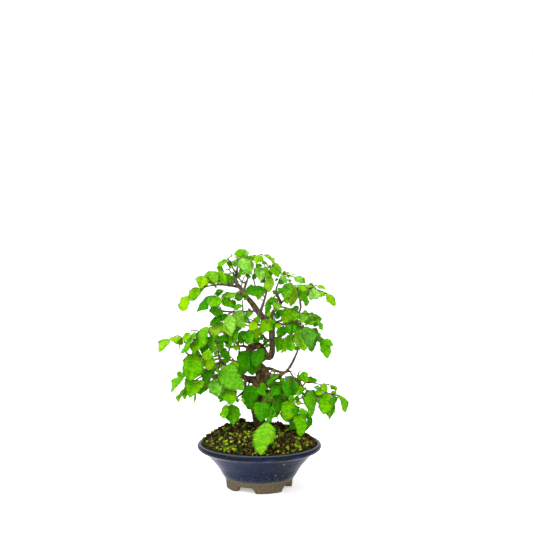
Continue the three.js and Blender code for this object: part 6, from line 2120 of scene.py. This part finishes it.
class BONSAI_OT_stage(bpy.types.Operator):
    """Build the floor, the lights and the camera"""

    bl_idname = "bonsai.stage"
    bl_label = "Stage"

    def execute(self, context):
        settings = context.scene.bonsai_stage
        mesh = bpy.data.meshes.new("floor")
        signs = ((-1, -1), (1, -1), (1, 1), (-1, 1))
        corners = [(x * FLOOR_REACH, y * FLOOR_REACH, 0) for x, y in signs]
        mesh.from_pydata(corners, [], [(0, 1, 2, 3)])
        mesh.materials.append(studio_floor())
        floor = bpy.data.objects.new("floor", mesh)
        context.scene.collection.objects.link(floor)
        add_light("key", (-0.7, -0.6, 1.2), 0.9, settings.key_power)
        add_light("fill", (0.8, -0.8, 0.8), 1.0, settings.fill_power)
        add_light("back", (0.1, 0.8, 1.1), 1.0, settings.fill_power)
        world = bpy.data.worlds.new("pale_sky")
        world.use_nodes = True
        sky = world.node_tree.nodes["Background"]
        sky.inputs["Color"].default_value = colour("#ffffff")
        sky.inputs["Strength"].default_value = settings.sky
        context.scene.world = world
        context.scene.view_settings.view_transform = "Standard"
        view = bpy.data.cameras.new("camera")
        view.lens = FOCAL_LENGTH
        view.sensor_width = 36.0
        camera = bpy.data.objects.new("camera", view)
        camera.location = (EYE * MM + AXIS).tolist()
        camera.rotation_euler = (math.radians(90 - EYE_PITCH), 0, 0)
        context.scene.collection.objects.link(camera)
        context.scene.camera = camera
        return {"FINISHED"}


def add_light(name, place, size, power):
    """A square soft light at a place in metres, turned to the middle of the tree."""
    lamp = bpy.data.lights.new(name, "AREA")
    lamp.size = size
    lamp.energy = power
    light = bpy.data.objects.new(name, lamp)
    light.location = place
    way = light.location.copy()
    way.z -= TREE_MIDDLE
    light.rotation_euler = way.to_track_quat("Z", "Y").to_euler()
    bpy.context.scene.collection.objects.link(light)


class BONSAI_PT_parts(bpy.types.Panel):
    """Lists the parts of the bonsai and their settings"""

    bl_label = "Bonsai"
    bl_space_type = "VIEW_3D"
    bl_region_type = "UI"
    bl_category = "Bonsai"

    def draw(self, context):
        for name in GROUPS:
            group = getattr(context.scene, name)
            for key in group.__annotations__:
                self.layout.prop(group, key)
        for kind in OPERATORS:
            self.layout.operator(kind.bl_idname)


GROUPS = {
    "bonsai_leaves": BonsaiLeaves, "bonsai_wood": BonsaiWood, "bonsai_soil": BonsaiSoil,
    "bonsai_pot": BonsaiPot, "bonsai_stage": BonsaiStage,
}
OPERATORS = (
    BONSAI_OT_leaves, BONSAI_OT_wood, BONSAI_OT_soil, BONSAI_OT_pot, BONSAI_OT_net, BONSAI_OT_stage,
)


def register():
    for kind in (*GROUPS.values(), *OPERATORS, BONSAI_PT_parts):
        bpy.utils.register_class(kind)
    for name, group in GROUPS.items():
        setattr(bpy.types.Scene, name, bpy.props.PointerProperty(type=group))


def unregister():
    for name in GROUPS:
        delattr(bpy.types.Scene, name)
    for kind in (BONSAI_PT_parts, *OPERATORS[::-1], *GROUPS.values()):
        bpy.utils.unregister_class(kind)


def main():
    register()
    bpy.ops.bonsai.leaves()
    bpy.ops.bonsai.wood()
    bpy.ops.bonsai.soil()
    bpy.ops.bonsai.pot()
    bpy.ops.bonsai.net()
    bpy.ops.bonsai.stage()


if __name__ == "__main__":
    main()
